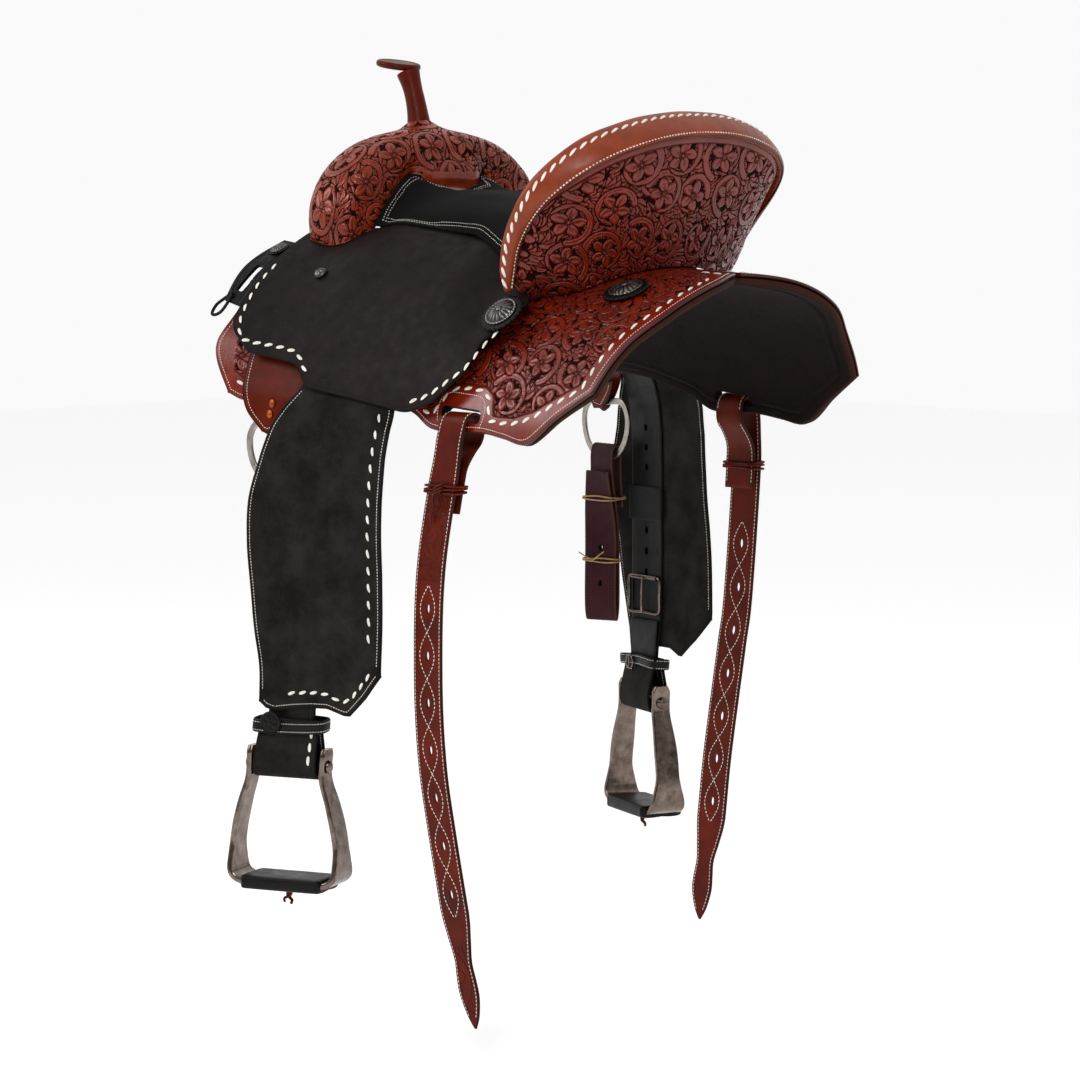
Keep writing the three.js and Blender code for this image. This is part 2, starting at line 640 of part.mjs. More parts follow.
function hang(side) {
  return (a, n, depth) => {
    const s = Math.min(1, Math.max(-0.05, (-depth - 60) / 460));
    const turn = rad(10 + (STIRRUP_TWIST - 10) * smooth((-depth - 390) / 100));
    const z = depth + HANG_RISE[side] * smooth((-depth - 90) / 260);
    const x = 88 + HANG_FORE[side] * s + a * Math.cos(turn) - n * Math.sin(turn);
    const y = hangOut(z) + a * Math.sin(turn) + n * Math.cos(turn);
    return vec(x, side * y, z);
  };
}

const FENDER = {
  top: [[-100, -75], [-60, -64], [12, -60], [28, -66]],
  rear: [[-100, -75], [-110, -96], [-111, -143], [-112, -191], [-115, -240], [-121, -290], [-125, -340], [-127, -400]],
  bottom: [[-127, -400], [-80, -450], [-30, -444], [-5, -446], [20, -450], [42, -440]],
  front: [[28, -66], [56, -114], [68, -158], [78, -205], [76, -255], [66, -310], [58, -355], [47, -400], [42, -440]],
};
const LEATHER_PATH = [[-0.5, -57], [-0.5, -200], [-0.5, -400], [-0.5, -468], [3.4, -488], [7.1, -508], [5, -519],
  [-3, -522.1], [-11, -519], [-13.1, -508], [-9.4, -488], [-5.5, -468], [-5.5, -411]];
const WRAP_PATH = [[3.4, -458], [4.6, -472], [8, -490], [10.7, -509], [8, -521], [-3, -525.9], [-14, -521],
  [-16.7, -509], [-13.4, -488], [-9.4, -470], [-9.2, -462]];
const STIRRUP_PATH = [[-47, -491], [-47, -526], [-56, -556], [-64, -590], [-67, -620], [-65, -640], [-52, -648],
  [0, -649], [52, -648], [65, -640], [67, -620], [64, -590], [56, -556], [47, -526], [47, -491]];
function stirrupLoft(place, grow, steps) {
  const curve = new THREE.CatmullRomCurve3(STIRRUP_PATH.map(([a, z]) => vec(a, 0, z)), false, 'centripetal');
  const rings = [];
  for (let i = 0; i <= steps; i++) {
    const p = curve.getPointAt(i / steps);
    const tangent = curve.getTangentAt(i / steps);
    const thick = 2.5 + grow;
    const depth = lerp(13, 26, smooth((-p.z - 520) / 110)) + grow;
    const corner = (s, n) => place(p.x - s * thick * tangent.z, -3 + n * depth, p.z + s * thick * tangent.x);
    rings.push([corner(1, 1), corner(1, -1), corner(-1, -1), corner(-1, 1)]);
  }
  return loftSolid(rings);
}

function plate(place, low, high, nu = 1, nv = 1) {
  const skin = (n) => (u, v) => place(lerp(low[0], high[0], u), n, lerp(low[2], high[2], v));
  return sheetSolid(skin(high[1]), skin(low[1]), nu, nv);
}

bothSides((name, side) => {
  const place = hang(side);
  const fill = coons(FENDER, 1);
  const skin = (n) => (u, v) => {
    const p = fill(u, v);
    return place(p.x, n, p.y);
  };
  add(`fender_${name}`, sheetSolid(skin(1.9 + FENDER_THICK), skin(1.9), 8, 16), 'black');
  add(`stirrup_leather_${name}`, strap(LEATHER_PATH, place, STRAP_WIDTH / 2, STRAP_THICK, 44), 'black');
  add(`fender_wrap_${name}`, strap(WRAP_PATH, place, 41, 3, 20), 'black');

  const hobble = band(bandOutline(46, -13.5, 8), place, -465, 12, 2.4, 20);
  const disc = rod(place(20, 9.6, -463), place(20, 12.4, -463), 13, 14);
  const stud = rod(place(20, 8, -463), place(20, 10, -463), 4, 8);
  add(`hobble_strap_${name}`, plus(plus(hobble, stud), disc), 'black');

  add(`leather_keeper_${name}`, plate(place, [-33, -5.2, -282], [33, -2.6, -234], 2, 2), 'suede');
  const frame = plate(place, [-34, -6.6, -404], [34, -3, -356], 1, 1);
  const opening = plate(place, [-28, -12, -399], [28, 4, -363], 1, 1);
  add(`leather_buckle_${name}`, minus(frame, opening), 'aluminium');
  add(`buckle_tongue_${name}`, plate(place, [-2, -9.6, -401], [2, -7.2, -359], 1, 1), 'aluminium');

  const pin = rod(place(-56, -3, BOLT_Z), place(56, -3, BOLT_Z), BOLT_RADIUS, 12);
  const sleeve = rod(place(-42.5, -3, BOLT_Z), place(42.5, -3, BOLT_Z), 6.6, 12);
  add(`stirrup_bolt_${name}`, plus(pin, sleeve), 'aluminium');
  const hole = rod(place(-70, -3, BOLT_Z), place(70, -3, BOLT_Z), BOLT_RADIUS + 0.5, 12);
  const arms = stirrupLoft(place, 0, 44);
  add(`stirrup_${name}`, minus(arms, hole), 'aluminium');
  const block = plate(place, [-50, -32, -657], [50, 26, -640], 6, 1);
  add(`stirrup_tread_${name}`, minus(block, stirrupLoft(place, 0.6, 44)), 'black');
});

// ---------- rear billets through the skirt slots ----------
const BILLET_OUT = [[-3, -208], [-3.2, -172], [-5, -156], [-14, -140], [-23, -128], [-24.5, -117], [-19, -101], [-8, -95.5], [3, -99], [7.4, -116], [8, -150],
  [8, -260], [8, -380], [8, -500], [8, -600], [8, -700], [8, -785]];
const BILLET_X = {
  1: [[-90, -104], [-146, -93], [-272, -67], [-392, -62], [-488, -68], [-571, -84], [-690, -112], [-800, -141]],
  '-1': [[-90, -104], [-163, -107], [-335, -94], [-406, -83], [-535, -62], [-625, -51], [-700, -38], [-800, -30]],
};
const BILLET_END = { 1: -785, '-1': -747 };
// Half width by the height above the tip: a point, a spear's blade, a waist and the full strap.
const BILLET_TIP = [[0, 2], [14, 9], [38, 15.5], [56, 15], [74, 13.5], [100, 18],
  [130, BILLET_WIDTH / 2], [900, BILLET_WIDTH / 2]];
function billetPlace(side) {
  const curve = new THREE.SplineCurve(BILLET_X[side].map(([z, x]) => new THREE.Vector2(z, x)));
  const centre = (z) => {
    let low = 0;
    let high = 1;
    for (let i = 0; i < 24; i++) {
      const middle = (low + high) / 2;
      if (curve.getPoint(middle).x > z) low = middle;
      else high = middle;
    }
    return curve.getPoint(low).y;
  };
  return (a, out, z) => vec(centre(Math.min(-90, z)) + a, side * (239 + out), z);
}
bothSides((name, side) => {
  const place = billetPlace(side);
  const end = BILLET_END[side];
  const path = BILLET_OUT.slice(0, -1).filter(([, z]) => z > end + 20);
  path.push([8, end]);
  const tip = (u, z) => (u > 0.5 ? between(BILLET_TIP, z - end) : BILLET_WIDTH / 2 - 2 * smooth((z + 180) / 50));
  add(`rear_billet_${name}`, strap(path, place, tip, BILLET_THICK, 36), 'tan');
  const tie = band(bandOutline(27.5, -9, 13.5), place, -180, 10, 2.4, 16);
  add(`billet_tie_${name}`, tie, 'tan');
});

// ---------- latigo carrier on the near front ----------
const CARRIER = {
  top: [[238, 33], [258, 33]],
  rear: [[238, 33], [234, 45], [234, 58]],
  bottom: [[234, 58], [260, 57]],
  front: [[258, 33], [268, 45], [260, 57]],
};
const carrierLow = () => 11;
const carrierSlot = wrap({
  top: [[243, 43], [257, 43]],
  rear: [[243, 43], [242, 53]],
  bottom: [[242, 53], [254, 53]],
  front: [[257, 43], [254, 53]],
}, 4, 30, 1, 2, 2);
add('latigo_carrier', minus(wrap(CARRIER, carrierLow, (x, t) => carrierLow(x, t) + 4, 1, 6, 6), carrierSlot), 'black');
add('carrier_concho', fixed(CONCHO_PROFILE.map(([r, h]) => [r * 0.56, h * 0.8]), 250, 37, carrierLow() + 5.4, 1, 14), 'silver');

export default root;
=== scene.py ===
import math
import bpy
import numpy as np
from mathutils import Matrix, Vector


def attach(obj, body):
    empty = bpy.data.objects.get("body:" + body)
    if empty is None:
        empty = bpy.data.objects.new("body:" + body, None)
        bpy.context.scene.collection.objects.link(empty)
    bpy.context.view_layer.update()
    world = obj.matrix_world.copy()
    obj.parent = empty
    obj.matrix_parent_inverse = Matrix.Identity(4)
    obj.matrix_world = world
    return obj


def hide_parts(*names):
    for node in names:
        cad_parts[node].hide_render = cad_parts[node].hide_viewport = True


# Western barrel saddle. Geometry is worked out in millimetres in the frame's axes (+X to the horn,
# +Y to the near side, +Z up) and becomes metres when a mesh is made.
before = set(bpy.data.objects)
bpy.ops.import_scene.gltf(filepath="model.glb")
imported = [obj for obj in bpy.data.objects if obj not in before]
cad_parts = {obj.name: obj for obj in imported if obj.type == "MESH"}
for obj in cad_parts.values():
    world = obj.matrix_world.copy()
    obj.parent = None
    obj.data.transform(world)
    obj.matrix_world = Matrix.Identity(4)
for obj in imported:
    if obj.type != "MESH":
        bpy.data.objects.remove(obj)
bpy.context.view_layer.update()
MM = 0.001
SIDES = (("left", 1), ("right", -1))


# ---------- camera, light and floor ----------
CAMERA_PLACE = (-3.08236, 3.19348, 0.18974)
CAMERA_TURN, CAMERA_TILT = 46, 5.8       # degrees from straight ahead, and downwards
CAMERA_LENS = 126
FLOOR_Z = -0.83


def make_camera():
    data = bpy.data.cameras.new("camera")
    data.lens, data.sensor_width = CAMERA_LENS, 36
    data.clip_start, data.clip_end = 0.05, 60
    camera = bpy.data.objects.new("camera", data)
    bpy.context.scene.collection.objects.link(camera)
    turn, tilt = math.radians(CAMERA_TURN), math.radians(CAMERA_TILT)
    aim = Vector((math.cos(turn) * math.cos(tilt), -math.sin(turn) * math.cos(tilt),
                  -math.sin(tilt)))
    camera.location = CAMERA_PLACE
    camera.rotation_mode = "QUATERNION"
    camera.rotation_quaternion = aim.to_track_quat("-Z", "Y")
    bpy.context.scene.camera = camera


def area_light(name, place, aim, size, power):
    data = bpy.data.lights.new(name, "AREA")
    data.size, data.energy = size, power
    light = bpy.data.objects.new(name, data)
    light.location = place
    light.rotation_mode = "QUATERNION"
    light.rotation_quaternion = (Vector(aim) - Vector(place)).to_track_quat("-Z", "Y")
    bpy.context.scene.collection.objects.link(light)


def make_studio():
    world = bpy.data.worlds.new("studio")
    bpy.context.scene.world = world
    world.use_nodes = True
    nodes, links = world.node_tree.nodes, world.node_tree.links
    nodes["Background"].inputs[0].default_value = (1, 1, 1, 1)
    way = nodes.new("ShaderNodeTexCoord")
    along = nodes.new("ShaderNodeVectorMath")
    along.operation = "DOT_PRODUCT"
    along.inputs[1].default_value = (0.68, -0.71, 0.18)
    links.new(way.outputs["Generated"], along.inputs[0])
    fade = nodes.new("ShaderNodeMapRange")
    fade.interpolation_type = "SMOOTHSTEP"
    for index, value in ((1, -0.75), (2, 0.6), (3, 0.22), (4, 0.95)):
        fade.inputs[index].default_value = value
    links.new(along.outputs["Value"], fade.inputs[0])
    links.new(fade.outputs[0], nodes["Background"].inputs[1])
    area_light("key", (-1.9, 2.9, 2.6), (0, 0, -0.1), 1.3, 78)
    area_light("fill", (-3.4, 0.6, 0.7), (0, 0, -0.2), 2.0, 14)
    area_light("rim", (1.8, 2.2, 1.6), (0, 0, 0), 1.4, 30)
    bpy.context.scene.view_settings.view_transform = "Standard"
    mesh = bpy.data.meshes.new("floor")
    mesh.from_pydata([(-9, -9, FLOOR_Z), (9, -9, FLOOR_Z), (9, 9, FLOOR_Z), (-9, 9, FLOOR_Z)], [],
                     [(0, 1, 2, 3)])
    floor = bpy.data.objects.new("floor", mesh)
    bpy.context.scene.collection.objects.link(floor)
    material, shader, _, _ = new_material("floor_paint")
    shader.inputs["Base Color"].default_value = (0.93, 0.93, 0.93, 1)
    shader.inputs["Roughness"].default_value = 0.9
    shader.inputs["Emission Color"].default_value = (1, 1, 1, 1)
    shader.inputs["Emission Strength"].default_value = 0.28
    mesh.materials.append(material)


# ---------- materials ----------
def srgb(text):
    values = [int(text[k:k + 2], 16) / 255 for k in (1, 3, 5)]
    return tuple(v / 12.92 if v <= 0.04045 else ((v + 0.055) / 1.055) ** 2.4 for v in values) + (1,)


def new_material(name):
    material = bpy.data.materials.new(name)
    material.use_nodes = True
    nodes, links = material.node_tree.nodes, material.node_tree.links
    return material, nodes["Principled BSDF"], nodes, links


class Maker:
    """Small helpers that add nodes to one material and join them."""

    def __init__(self, name):
        self.material, self.shader, self.nodes, self.links = new_material(name)
        self.place = self.nodes.new("ShaderNodeTexCoord").outputs["Object"]

    def put(self, value, socket):
        if isinstance(value, (int, float, tuple)):
            socket.default_value = value
        else:
            self.links.new(value, socket)

    def noise(self, scale, detail=3.0, rough=0.55, stretch=None):
        node = self.nodes.new("ShaderNodeTexNoise")
        node.inputs["Scale"].default_value = scale
        node.inputs["Detail"].default_value = detail
        node.inputs["Roughness"].default_value = rough
        place = self.place
        if stretch:
            mapping = self.nodes.new("ShaderNodeMapping")
            mapping.inputs["Scale"].default_value = stretch
            self.links.new(self.place, mapping.inputs["Vector"])
            place = mapping.outputs["Vector"]
        self.links.new(place, node.inputs["Vector"])
        return node.outputs["Fac"]

    def cells(self, scale):
        node = self.nodes.new("ShaderNodeTexVoronoi")
        node.inputs["Scale"].default_value = scale
        self.links.new(self.place, node.inputs["Vector"])
        return node.outputs["Distance"]

    def attribute(self, name):
        node = self.nodes.new("ShaderNodeAttribute")
        node.attribute_name = name
        return node.outputs["Fac"]

    def span(self, value, low, high, to_low=0.0, to_high=1.0):
        node = self.nodes.new("ShaderNodeMapRange")
        self.put(value, node.inputs["Value"])
        for key, number in zip(("From Min", "From Max", "To Min", "To Max"),
                               (low, high, to_low, to_high)):
            node.inputs[key].default_value = number
        return node.outputs["Result"]

    def maths(self, how, a, b):
        node = self.nodes.new("ShaderNodeMath")
        node.operation = how
        self.put(a, node.inputs[0])
        self.put(b, node.inputs[1])
        return node.outputs[0]

    def mix(self, share, a, b):
        node = self.nodes.new("ShaderNodeMix")
        node.data_type = "RGBA"
        self.put(share, node.inputs[0])
        self.put(a, node.inputs[6])
        self.put(b, node.inputs[7])
        return node.outputs[2]

    def bump(self, height, strength, distance, before=None):
        node = self.nodes.new("ShaderNodeBump")
        node.inputs["Strength"].default_value = strength
        node.inputs["Distance"].default_value = distance
        self.put(height, node.inputs["Height"])
        if before is not None:
            self.links.new(before, node.inputs["Normal"])
        return node.outputs["Normal"]

    def finish(self, color, roughness, normal=None, **more):
        self.put(color, self.shader.inputs["Base Color"])
        self.put(roughness, self.shader.inputs["Roughness"])
        if normal is not None:
            self.links.new(normal, self.shader.inputs["Normal"])
        for key, value in more.items():
            self.put(value, self.shader.inputs[key.replace("_", " ")])
        return self.material


def tooled_leather(name, raised, ground, edge):
    """Oiled carved leather: dark paste in the cuts, polished high spots, burnished edges."""
    m = Maker(name)
    tone = m.attribute("tone")
    mottle = m.span(m.noise(34, 4), 0.3, 0.7)
    lit = m.mix(mottle, raised[0], raised[1])
    fine = m.span(m.noise(420, 2), 0.35, 0.7, 0, 0.35)
    lit = m.mix(fine, lit, raised[0])
    color = m.mix(m.span(tone, 0.08, 0.62), ground, lit)
    color = m.mix(m.maths("MULTIPLY", m.attribute("edge"), 0.85), color, edge)
    grain = m.bump(m.cells(900), 0.14, 0.0003)
    wear = m.bump(m.noise(260, 4), 0.22, 0.0004, grain)
    rough = m.maths("ADD", m.span(tone, 0.1, 0.7, 0.65, 0.2),
                    m.span(m.noise(60, 3), 0.3, 0.7, -0.04, 0.07))
    return m.finish(color, rough, wear, Specular_IOR_Level=m.span(tone, 0.12, 0.65, 0.03, 0.42))


def smooth_leather(name, base, deep, edge, rough=0.45, grain=800, mottle=26, scuff=0.0,
                   scuffed=(0.1, 0.08, 0.07, 1), shine=0.45):
    """Plain vegetable-tanned or black leather with pores, cloudy colour and rubbed edges."""
    m = Maker(name)
    cloud = m.span(m.noise(mottle, 5, 0.6), 0.32, 0.68)
    color = m.mix(cloud, base, deep)
    pores = m.cells(grain)
    color = m.mix(m.span(pores, 0.0, 0.35, 0.3, 0.0), color, deep)
    if scuff:
        marks = m.span(m.noise(95, 8, 0.75, (1, 1, 2.2)), 0.56, 0.74, 0, scuff)
        color = m.mix(marks, color, scuffed)
    color = m.mix(m.maths("MULTIPLY", m.attribute("tone"), 0.75), color, deep)
    color = m.mix(m.maths("MULTIPLY", m.attribute("edge"), 0.8), color, edge)
    normal = m.bump(pores, 0.18, 0.0003)
    normal = m.bump(m.noise(180, 5, 0.6), 0.16, 0.0005, normal)
    roughness = m.span(m.noise(70, 4), 0.3, 0.7, rough - 0.06, rough + 0.12)
    return m.finish(color, roughness, normal, Specular_IOR_Level=shine)


def napped(name, base, high, edge, coarse=900, strength=0.5, sheen=0.25, patch=22):
    """Suede, rough-out leather and lining: short fibres, lighter brushed patches that are painted
    sheen of the nap, and a soft sheen in the shader.
    """
    m = Maker(name)
    # painted sheen: patches of nap lightened towards the high colour, as if catching the light
    brushed = m.span(m.noise(patch, 6, 0.65), 0.35, 0.7)
    color = m.mix(m.maths("MULTIPLY", brushed, 0.55), base, high)
    fibre = m.noise(coarse, 4, 0.7)
    color = m.mix(m.span(fibre, 0.52, 0.72, 0, 0.5), color, high)
    color = m.mix(m.maths("MULTIPLY", m.attribute("edge"), 0.7), color, edge)
    normal = m.bump(fibre, strength, 0.0006)
    normal = m.bump(m.noise(coarse / 4, 3), strength * 0.5, 0.0008, normal)
    return m.finish(color, 0.93, normal, Specular_IOR_Level=0.1, Sheen_Weight=sheen,
                    Sheen_Roughness=0.5)


def metal(name, base, dark, rough, brushed=None, soot=0.0):
    """Worn metal: cloudy tarnish, fine scratches and, on cast pieces, soot in the hollows."""
    m = Maker(name)
    cloud = m.span(m.noise(70, 5, 0.6), 0.3, 0.7)
    color = m.mix(cloud, base, dark)
    if soot:
        color = m.mix(m.maths("MULTIPLY", m.attribute("tone"), soot), color,
                      (0.01, 0.009, 0.009, 1))
    lines = m.noise(900, 3, 0.6, brushed or (1, 1, 1))
    normal = m.bump(lines, 0.12, 0.0002)
    roughness = m.span(m.noise(160, 4), 0.3, 0.7, rough - 0.07, rough + 0.1)
    return m.finish(color, roughness, normal, Metallic=1.0)


def thread(name, base, dark):
    m = Maker(name)
    twist = m.noise(1500, 2, 0.5, (1, 1, 0.4))
    color = m.mix(m.span(m.noise(160, 3), 0.35, 0.7), base, dark)
    return m.finish(color, 0.75, m.bump(twist, 0.5, 0.0003), Sheen_Weight=0.15)


def rawhide(name):
    m = Maker(name)
    color = m.mix(m.span(m.noise(40, 5), 0.3, 0.7), srgb("#5d574e"), srgb("#443f39"))
    return m.finish(color, 0.55, m.bump(m.noise(220, 4), 0.3, 0.0006))


BROWN = (srgb("#7a1e09"), srgb("#571206"))
MAT = {
    "carved": tooled_leather("carved_leather", BROWN, srgb("#170502"), srgb("#2b0d07")),
    "carved_swell": tooled_leather("carved_leather_light", (srgb("#8c2e11"), srgb("#6a1e0a")),
                                   srgb("#1e0803"), srgb("#3f1a11")),
    "roll": smooth_leather("russet_leather", srgb("#8c3813"), srgb("#70280d"), srgb("#38130a"),
                           0.38, shine=0.3),
    "tan": smooth_leather("brown_leather", srgb("#5f1703"), srgb("#440f03"), srgb("#1c0702"), 0.34,
                          shine=0.1),
    "jockey": smooth_leather("black_brown_leather", srgb("#1c1411"), srgb("#0f0b09"),
                             srgb("#080606"), 0.55, 700, 18, 0.45, srgb("#332a24"), 0.1),
    "black": smooth_leather("black_leather", srgb("#0f0d0c"), srgb("#080707"), srgb("#050405"), 0.4,
                            shine=0.16),
    # napped leathers: the second colour is the painted sheen of the brushed nap, also used for
    # lighter fibre tips
    "roughout": napped("black_roughout", srgb("#0a0908"), srgb("#34312d"), srgb("#060505"), 1100,
                       0.9, 0.02),
    "suede": napped("black_suede", srgb("#040404"), srgb("#0f0e0d"), srgb("#030303"), 1500, 0.6,
                    0.02),
    "lining": napped("brown_lining", srgb("#0b0604"), srgb("#1b110c"), srgb("#3a1e15"), 700, 0.8,
                     0.02),
    "burgundy": smooth_leather("burgundy_leather", srgb("#3a0d16"), srgb("#290811"),
                               srgb("#5b3a2c"), 0.55, 900, 30, shine=0.15),
    "nylon": napped("black_nylon", srgb("#131313"), srgb("#222223"), srgb("#0c0c0c"), 1300, 0.5,
                    0.1),
    "silver": metal("antique_silver", srgb("#8d8a86"), srgb("#5b5855"), 0.34, None, 0.9),
    "nickel": metal("nickel_plate", srgb("#b7b1a9"), srgb("#8f8780"), 0.3, (1, 1, 0.2)),
    "aluminium": metal("satin_aluminium", srgb("#85776e"), srgb("#54453d"), 0.2, (1, 1, 0.1)),
    "copper": metal("copper", srgb("#b5612f"), srgb("#8a4322"), 0.35),
    "thread": thread("waxed_thread", srgb("#e6e0d6"), srgb("#bdb3a6")),
    "lace": thread("rawhide_lace", srgb("#efeae0"), srgb("#cfc6b8")),
    "black_thread": thread("black_thread", srgb("#171515"), srgb("#0d0c0c")),
    "tan_thread": thread("tan_thread", srgb("#b08d57"), srgb("#8d6b3c")),
    "wood": rawhide("rawhide_tree"),
}


# ---------- curves ----------
def spline(p0, p1, p2, p3, w):
    """Centripetal Catmull-Rom points at shares w of the way from p1 to p2."""
    d0, d1, d2 = (np.sqrt(np.linalg.norm(b - a, axis=1))[:, None]
                  for a, b in ((p0, p1), (p1, p2), (p2, p3)))
    d1 = np.where(d1 < 1e-4, 1, d1)
    d0 = np.where(d0 < 1e-4, d1, d0)
    d2 = np.where(d2 < 1e-4, d1, d2)
    t1 = ((p1 - p0) / d0 - (p2 - p0) / (d0 + d1) + (p2 - p1) / d1) * d1
    t2 = ((p2 - p1) / d1 - (p3 - p1) / (d1 + d2) + (p3 - p2) / d2) * d1
    return (p1 + t1 * w + (-3 * p1 + 3 * p2 - 2 * t1 - t2) * w**2
            + (2 * p1 - 2 * p2 + t1 + t2) * w**3)


def curve_at(points, share, closed=False):
    """Points of a centripetal Catmull-Rom curve; share runs 0..1, evenly over the given points."""
    p = np.asarray(points, float)
    n = len(p)
    spans = n if closed else n - 1
    f = np.clip(np.asarray(share, float), 0, 1) * spans
    i = np.minimum(f.astype(int), spans - 1)
    w = (f - i)[:, None]
    if closed:
        p0, p1, p2, p3 = (p[(i + k) % n] for k in (-1, 0, 1, 2))
    else:
        q = np.vstack([2 * p[0] - p[1], p, 2 * p[-1] - p[-2]])
        p0, p1, p2, p3 = (q[i + k] for k in range(4))
    return spline(p0, p1, p2, p3, w)


def even(points, share, closed=False, bent=True):
    """The same curve (or straight spans) by arc length."""
    count = 40 * len(points) + 1
    dense = np.asarray(points, float)
    if bent:
        dense = curve_at(points, np.linspace(0, 1, count), closed)
    lengths = run_along(dense)
    target = np.clip(np.asarray(share, float), 0, 1) * lengths[-1]
    return np.stack([np.interp(target, lengths, dense[:, k]) for k in range(dense.shape[1])],
                    axis=-1)


def evenly(points, count):
    """A count of evenly spaced points on the curve."""
    return even(points, np.linspace(0, 1, count))


def evenly_round(points, count):
    """The same for a closed curve, without its first point again at the end."""
    return even(points, np.linspace(0, 1, count + 1)[:-1], closed=True)


def run_along(line):
    """Length from the line's start to each of its points."""
    return np.concatenate([[0], np.cumsum(np.linalg.norm(np.diff(line, axis=0), axis=1))])


def line_length(points):
    return float(np.linalg.norm(np.diff(np.asarray(points, float), axis=0), axis=1).sum())


def circle(count):
    return 2 * np.pi * np.arange(count) / count


def bell(x, width, middle=0.0):
    return np.exp(-(((x - middle) / width) ** 2))


def tangents(line, closed=False):
    if closed:
        t = np.roll(line, -1, 0) - np.roll(line, 1, 0)
    else:
        t = np.gradient(line, axis=0)
    return unit(t)


def unit(v):
    return v / np.maximum(np.linalg.norm(v, axis=-1, keepdims=True), 1e-9)


def smooth(x):
    t = np.clip(x, 0, 1)
    return t * t * (3 - 2 * t)


# ---------- meshes ----------
def make(name, verts, faces, body, material, replaces=(), slot=None, attributes=None, sharp=42):
    """A mesh object from points in mm and faces; sharp is the angle from which edges show."""
    mesh = bpy.data.meshes.new(name)
    mesh.from_pydata((np.asarray(verts, float) * MM).tolist(), [],
                     [list(map(int, f)) for f in faces])
    mesh.materials.append(MAT[material])
    for key, values in (attributes or {}).items():
        layer = mesh.attributes.new(key, "FLOAT", "POINT")
        layer.data.foreach_set("value", np.asarray(values, np.float32).ravel())
    mesh.polygons.foreach_set("use_smooth", np.ones(len(mesh.polygons), bool))
    mesh.update()
    if sharp:
        mesh.set_sharp_from_angle(angle=math.radians(sharp))
    obj = bpy.data.objects.new(name, mesh)
    bpy.context.scene.collection.objects.link(obj)
    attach(obj, body)
    if replaces:
        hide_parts(*replaces)
    return obj


def grid_faces(nu, nv, start=0, flip=False):
    a = start + (np.arange(nu)[:, None] * (nv + 1) + np.arange(nv)[None, :]).ravel()
    order = (a, a + nv + 1, a + nv + 2, a + 1)
    return np.stack(order[::-1] if flip else order, axis=1)


def coarse_faces(nu, nv, step, start, flip):
    """Faces that use only every step-th row of a fine grid, but every vertex on its rim."""
    def at(i, j):
        return start + i * (nv + 1) + j
    faces = []
    for i in range(0, nu, step):
        for j in range(0, nv, step):
            i2, j2 = min(nu, i + step), min(nv, j + step)
            ring = [at(k, j) for k in range(i, i2)] if j == 0 else [at(i, j)]
            ring += [at(i2, k) for k in range(j, j2)] if i2 == nu else [at(i2, j)]
            ring += [at(k, j2) for k in range(i2, i, -1)] if j2 == nv else [at(i2, j2)]
            ring += [at(i, k) for k in range(j2, j, -1)] if i == 0 else [at(i, j2)]
            faces.append(ring[::-1] if flip else ring)
    return faces


def shell(name, outer, inner, body, material, step=1, tone=None, edge=None, under_tone=None,
          **more):
    """A closed sheet from two grids of points of one layout, outer being the seen side."""
    nu, nv = outer.shape[0] - 1, outer.shape[1] - 1
    count = (nu + 1) * (nv + 1)
    a, b = nu // 2, nv // 2
    du = outer[min(nu, a + 1), b] - outer[max(0, a - 1), b]
    dv = outer[a, min(nv, b + 1)] - outer[a, max(0, b - 1)]
    flip = np.dot(np.cross(du, dv), outer[a, b] - inner[a, b]) < 0
    faces = list(grid_faces(nu, nv, 0, flip))
    if step > 1:
        faces += coarse_faces(nu, nv, step, count, not flip)
    else:
        faces += list(grid_faces(nu, nv, count, not flip))
    rim = [i * (nv + 1) for i in range(nu)] + [nu * (nv + 1) + j for j in range(nv)]
    rim += [i * (nv + 1) + nv for i in range(nu, 0, -1)] + [j for j in range(nv, 0, -1)]
    for k, p in enumerate(rim):
        q = rim[(k + 1) % len(rim)]
        ring = [p, p + count, q + count, q]
        faces.append(ring if flip else ring[::-1])
    verts = np.concatenate([outer.reshape(-1, 3), inner.reshape(-1, 3)])
    if step > 1:
        used = np.zeros(len(verts), bool)
        for face in faces:
            used[np.asarray(face)] = True
        number = np.cumsum(used) - 1
        faces = [[int(number[v]) for v in face] for face in faces]
    else:
        used = np.ones(len(verts), bool)
    attributes = {}
    zero = np.zeros(count)
    ends = (("tone", tone, under_tone), ("edge", edge, edge))
    for key, top, under in ends:
        t = zero if top is None else top.ravel()
        u = t if key == "edge" else (zero if under is None else under.ravel())
        attributes[key] = np.concatenate([t, u])[used]
    return make(name, verts[used], faces, body, material, attributes=attributes, **more)


def loft(rings, closed=False):
    """Verts and quads through rings of equal size, with fans closing the ends."""
    rings = np.asarray(rings, float)
    m, n = rings.shape[:2]
    verts = rings.reshape(-1, 3)
    faces = []
    last = m if closed else m - 1
    k = np.arange(n)
    for i in range(last):
        a, b = i * n, ((i + 1) % m) * n
        faces.append(np.stack([a + k, a + (k + 1) % n, b + (k + 1) % n, b + k], axis=1))
    faces = list(np.concatenate(faces))
    if not closed:
        middle = np.stack([rings[0].mean(0), rings[-1].mean(0)])
        c0, c1 = len(verts), len(verts) + 1
        verts = np.concatenate([verts, middle])
        for j in range(n):
            faces.append([c0, (j + 1) % n, j])
            faces.append([c1, (m - 1) * n + j, (m - 1) * n + (j + 1) % n])
    if signed_volume(verts, faces) < 0:
        faces = [list(f)[::-1] for f in faces]
    return verts, faces


def signed_volume(verts, faces):
    total = 0.0
    for size in (3, 4):
        group = np.array([f for f in faces if len(f) == size])
        if not len(group):
            continue
        p = verts[group]
        for k in range(1, size - 1):
            total += np.einsum("ij,ij->i", p[:, 0], np.cross(p[:, k], p[:, k + 1])).sum()
    return total


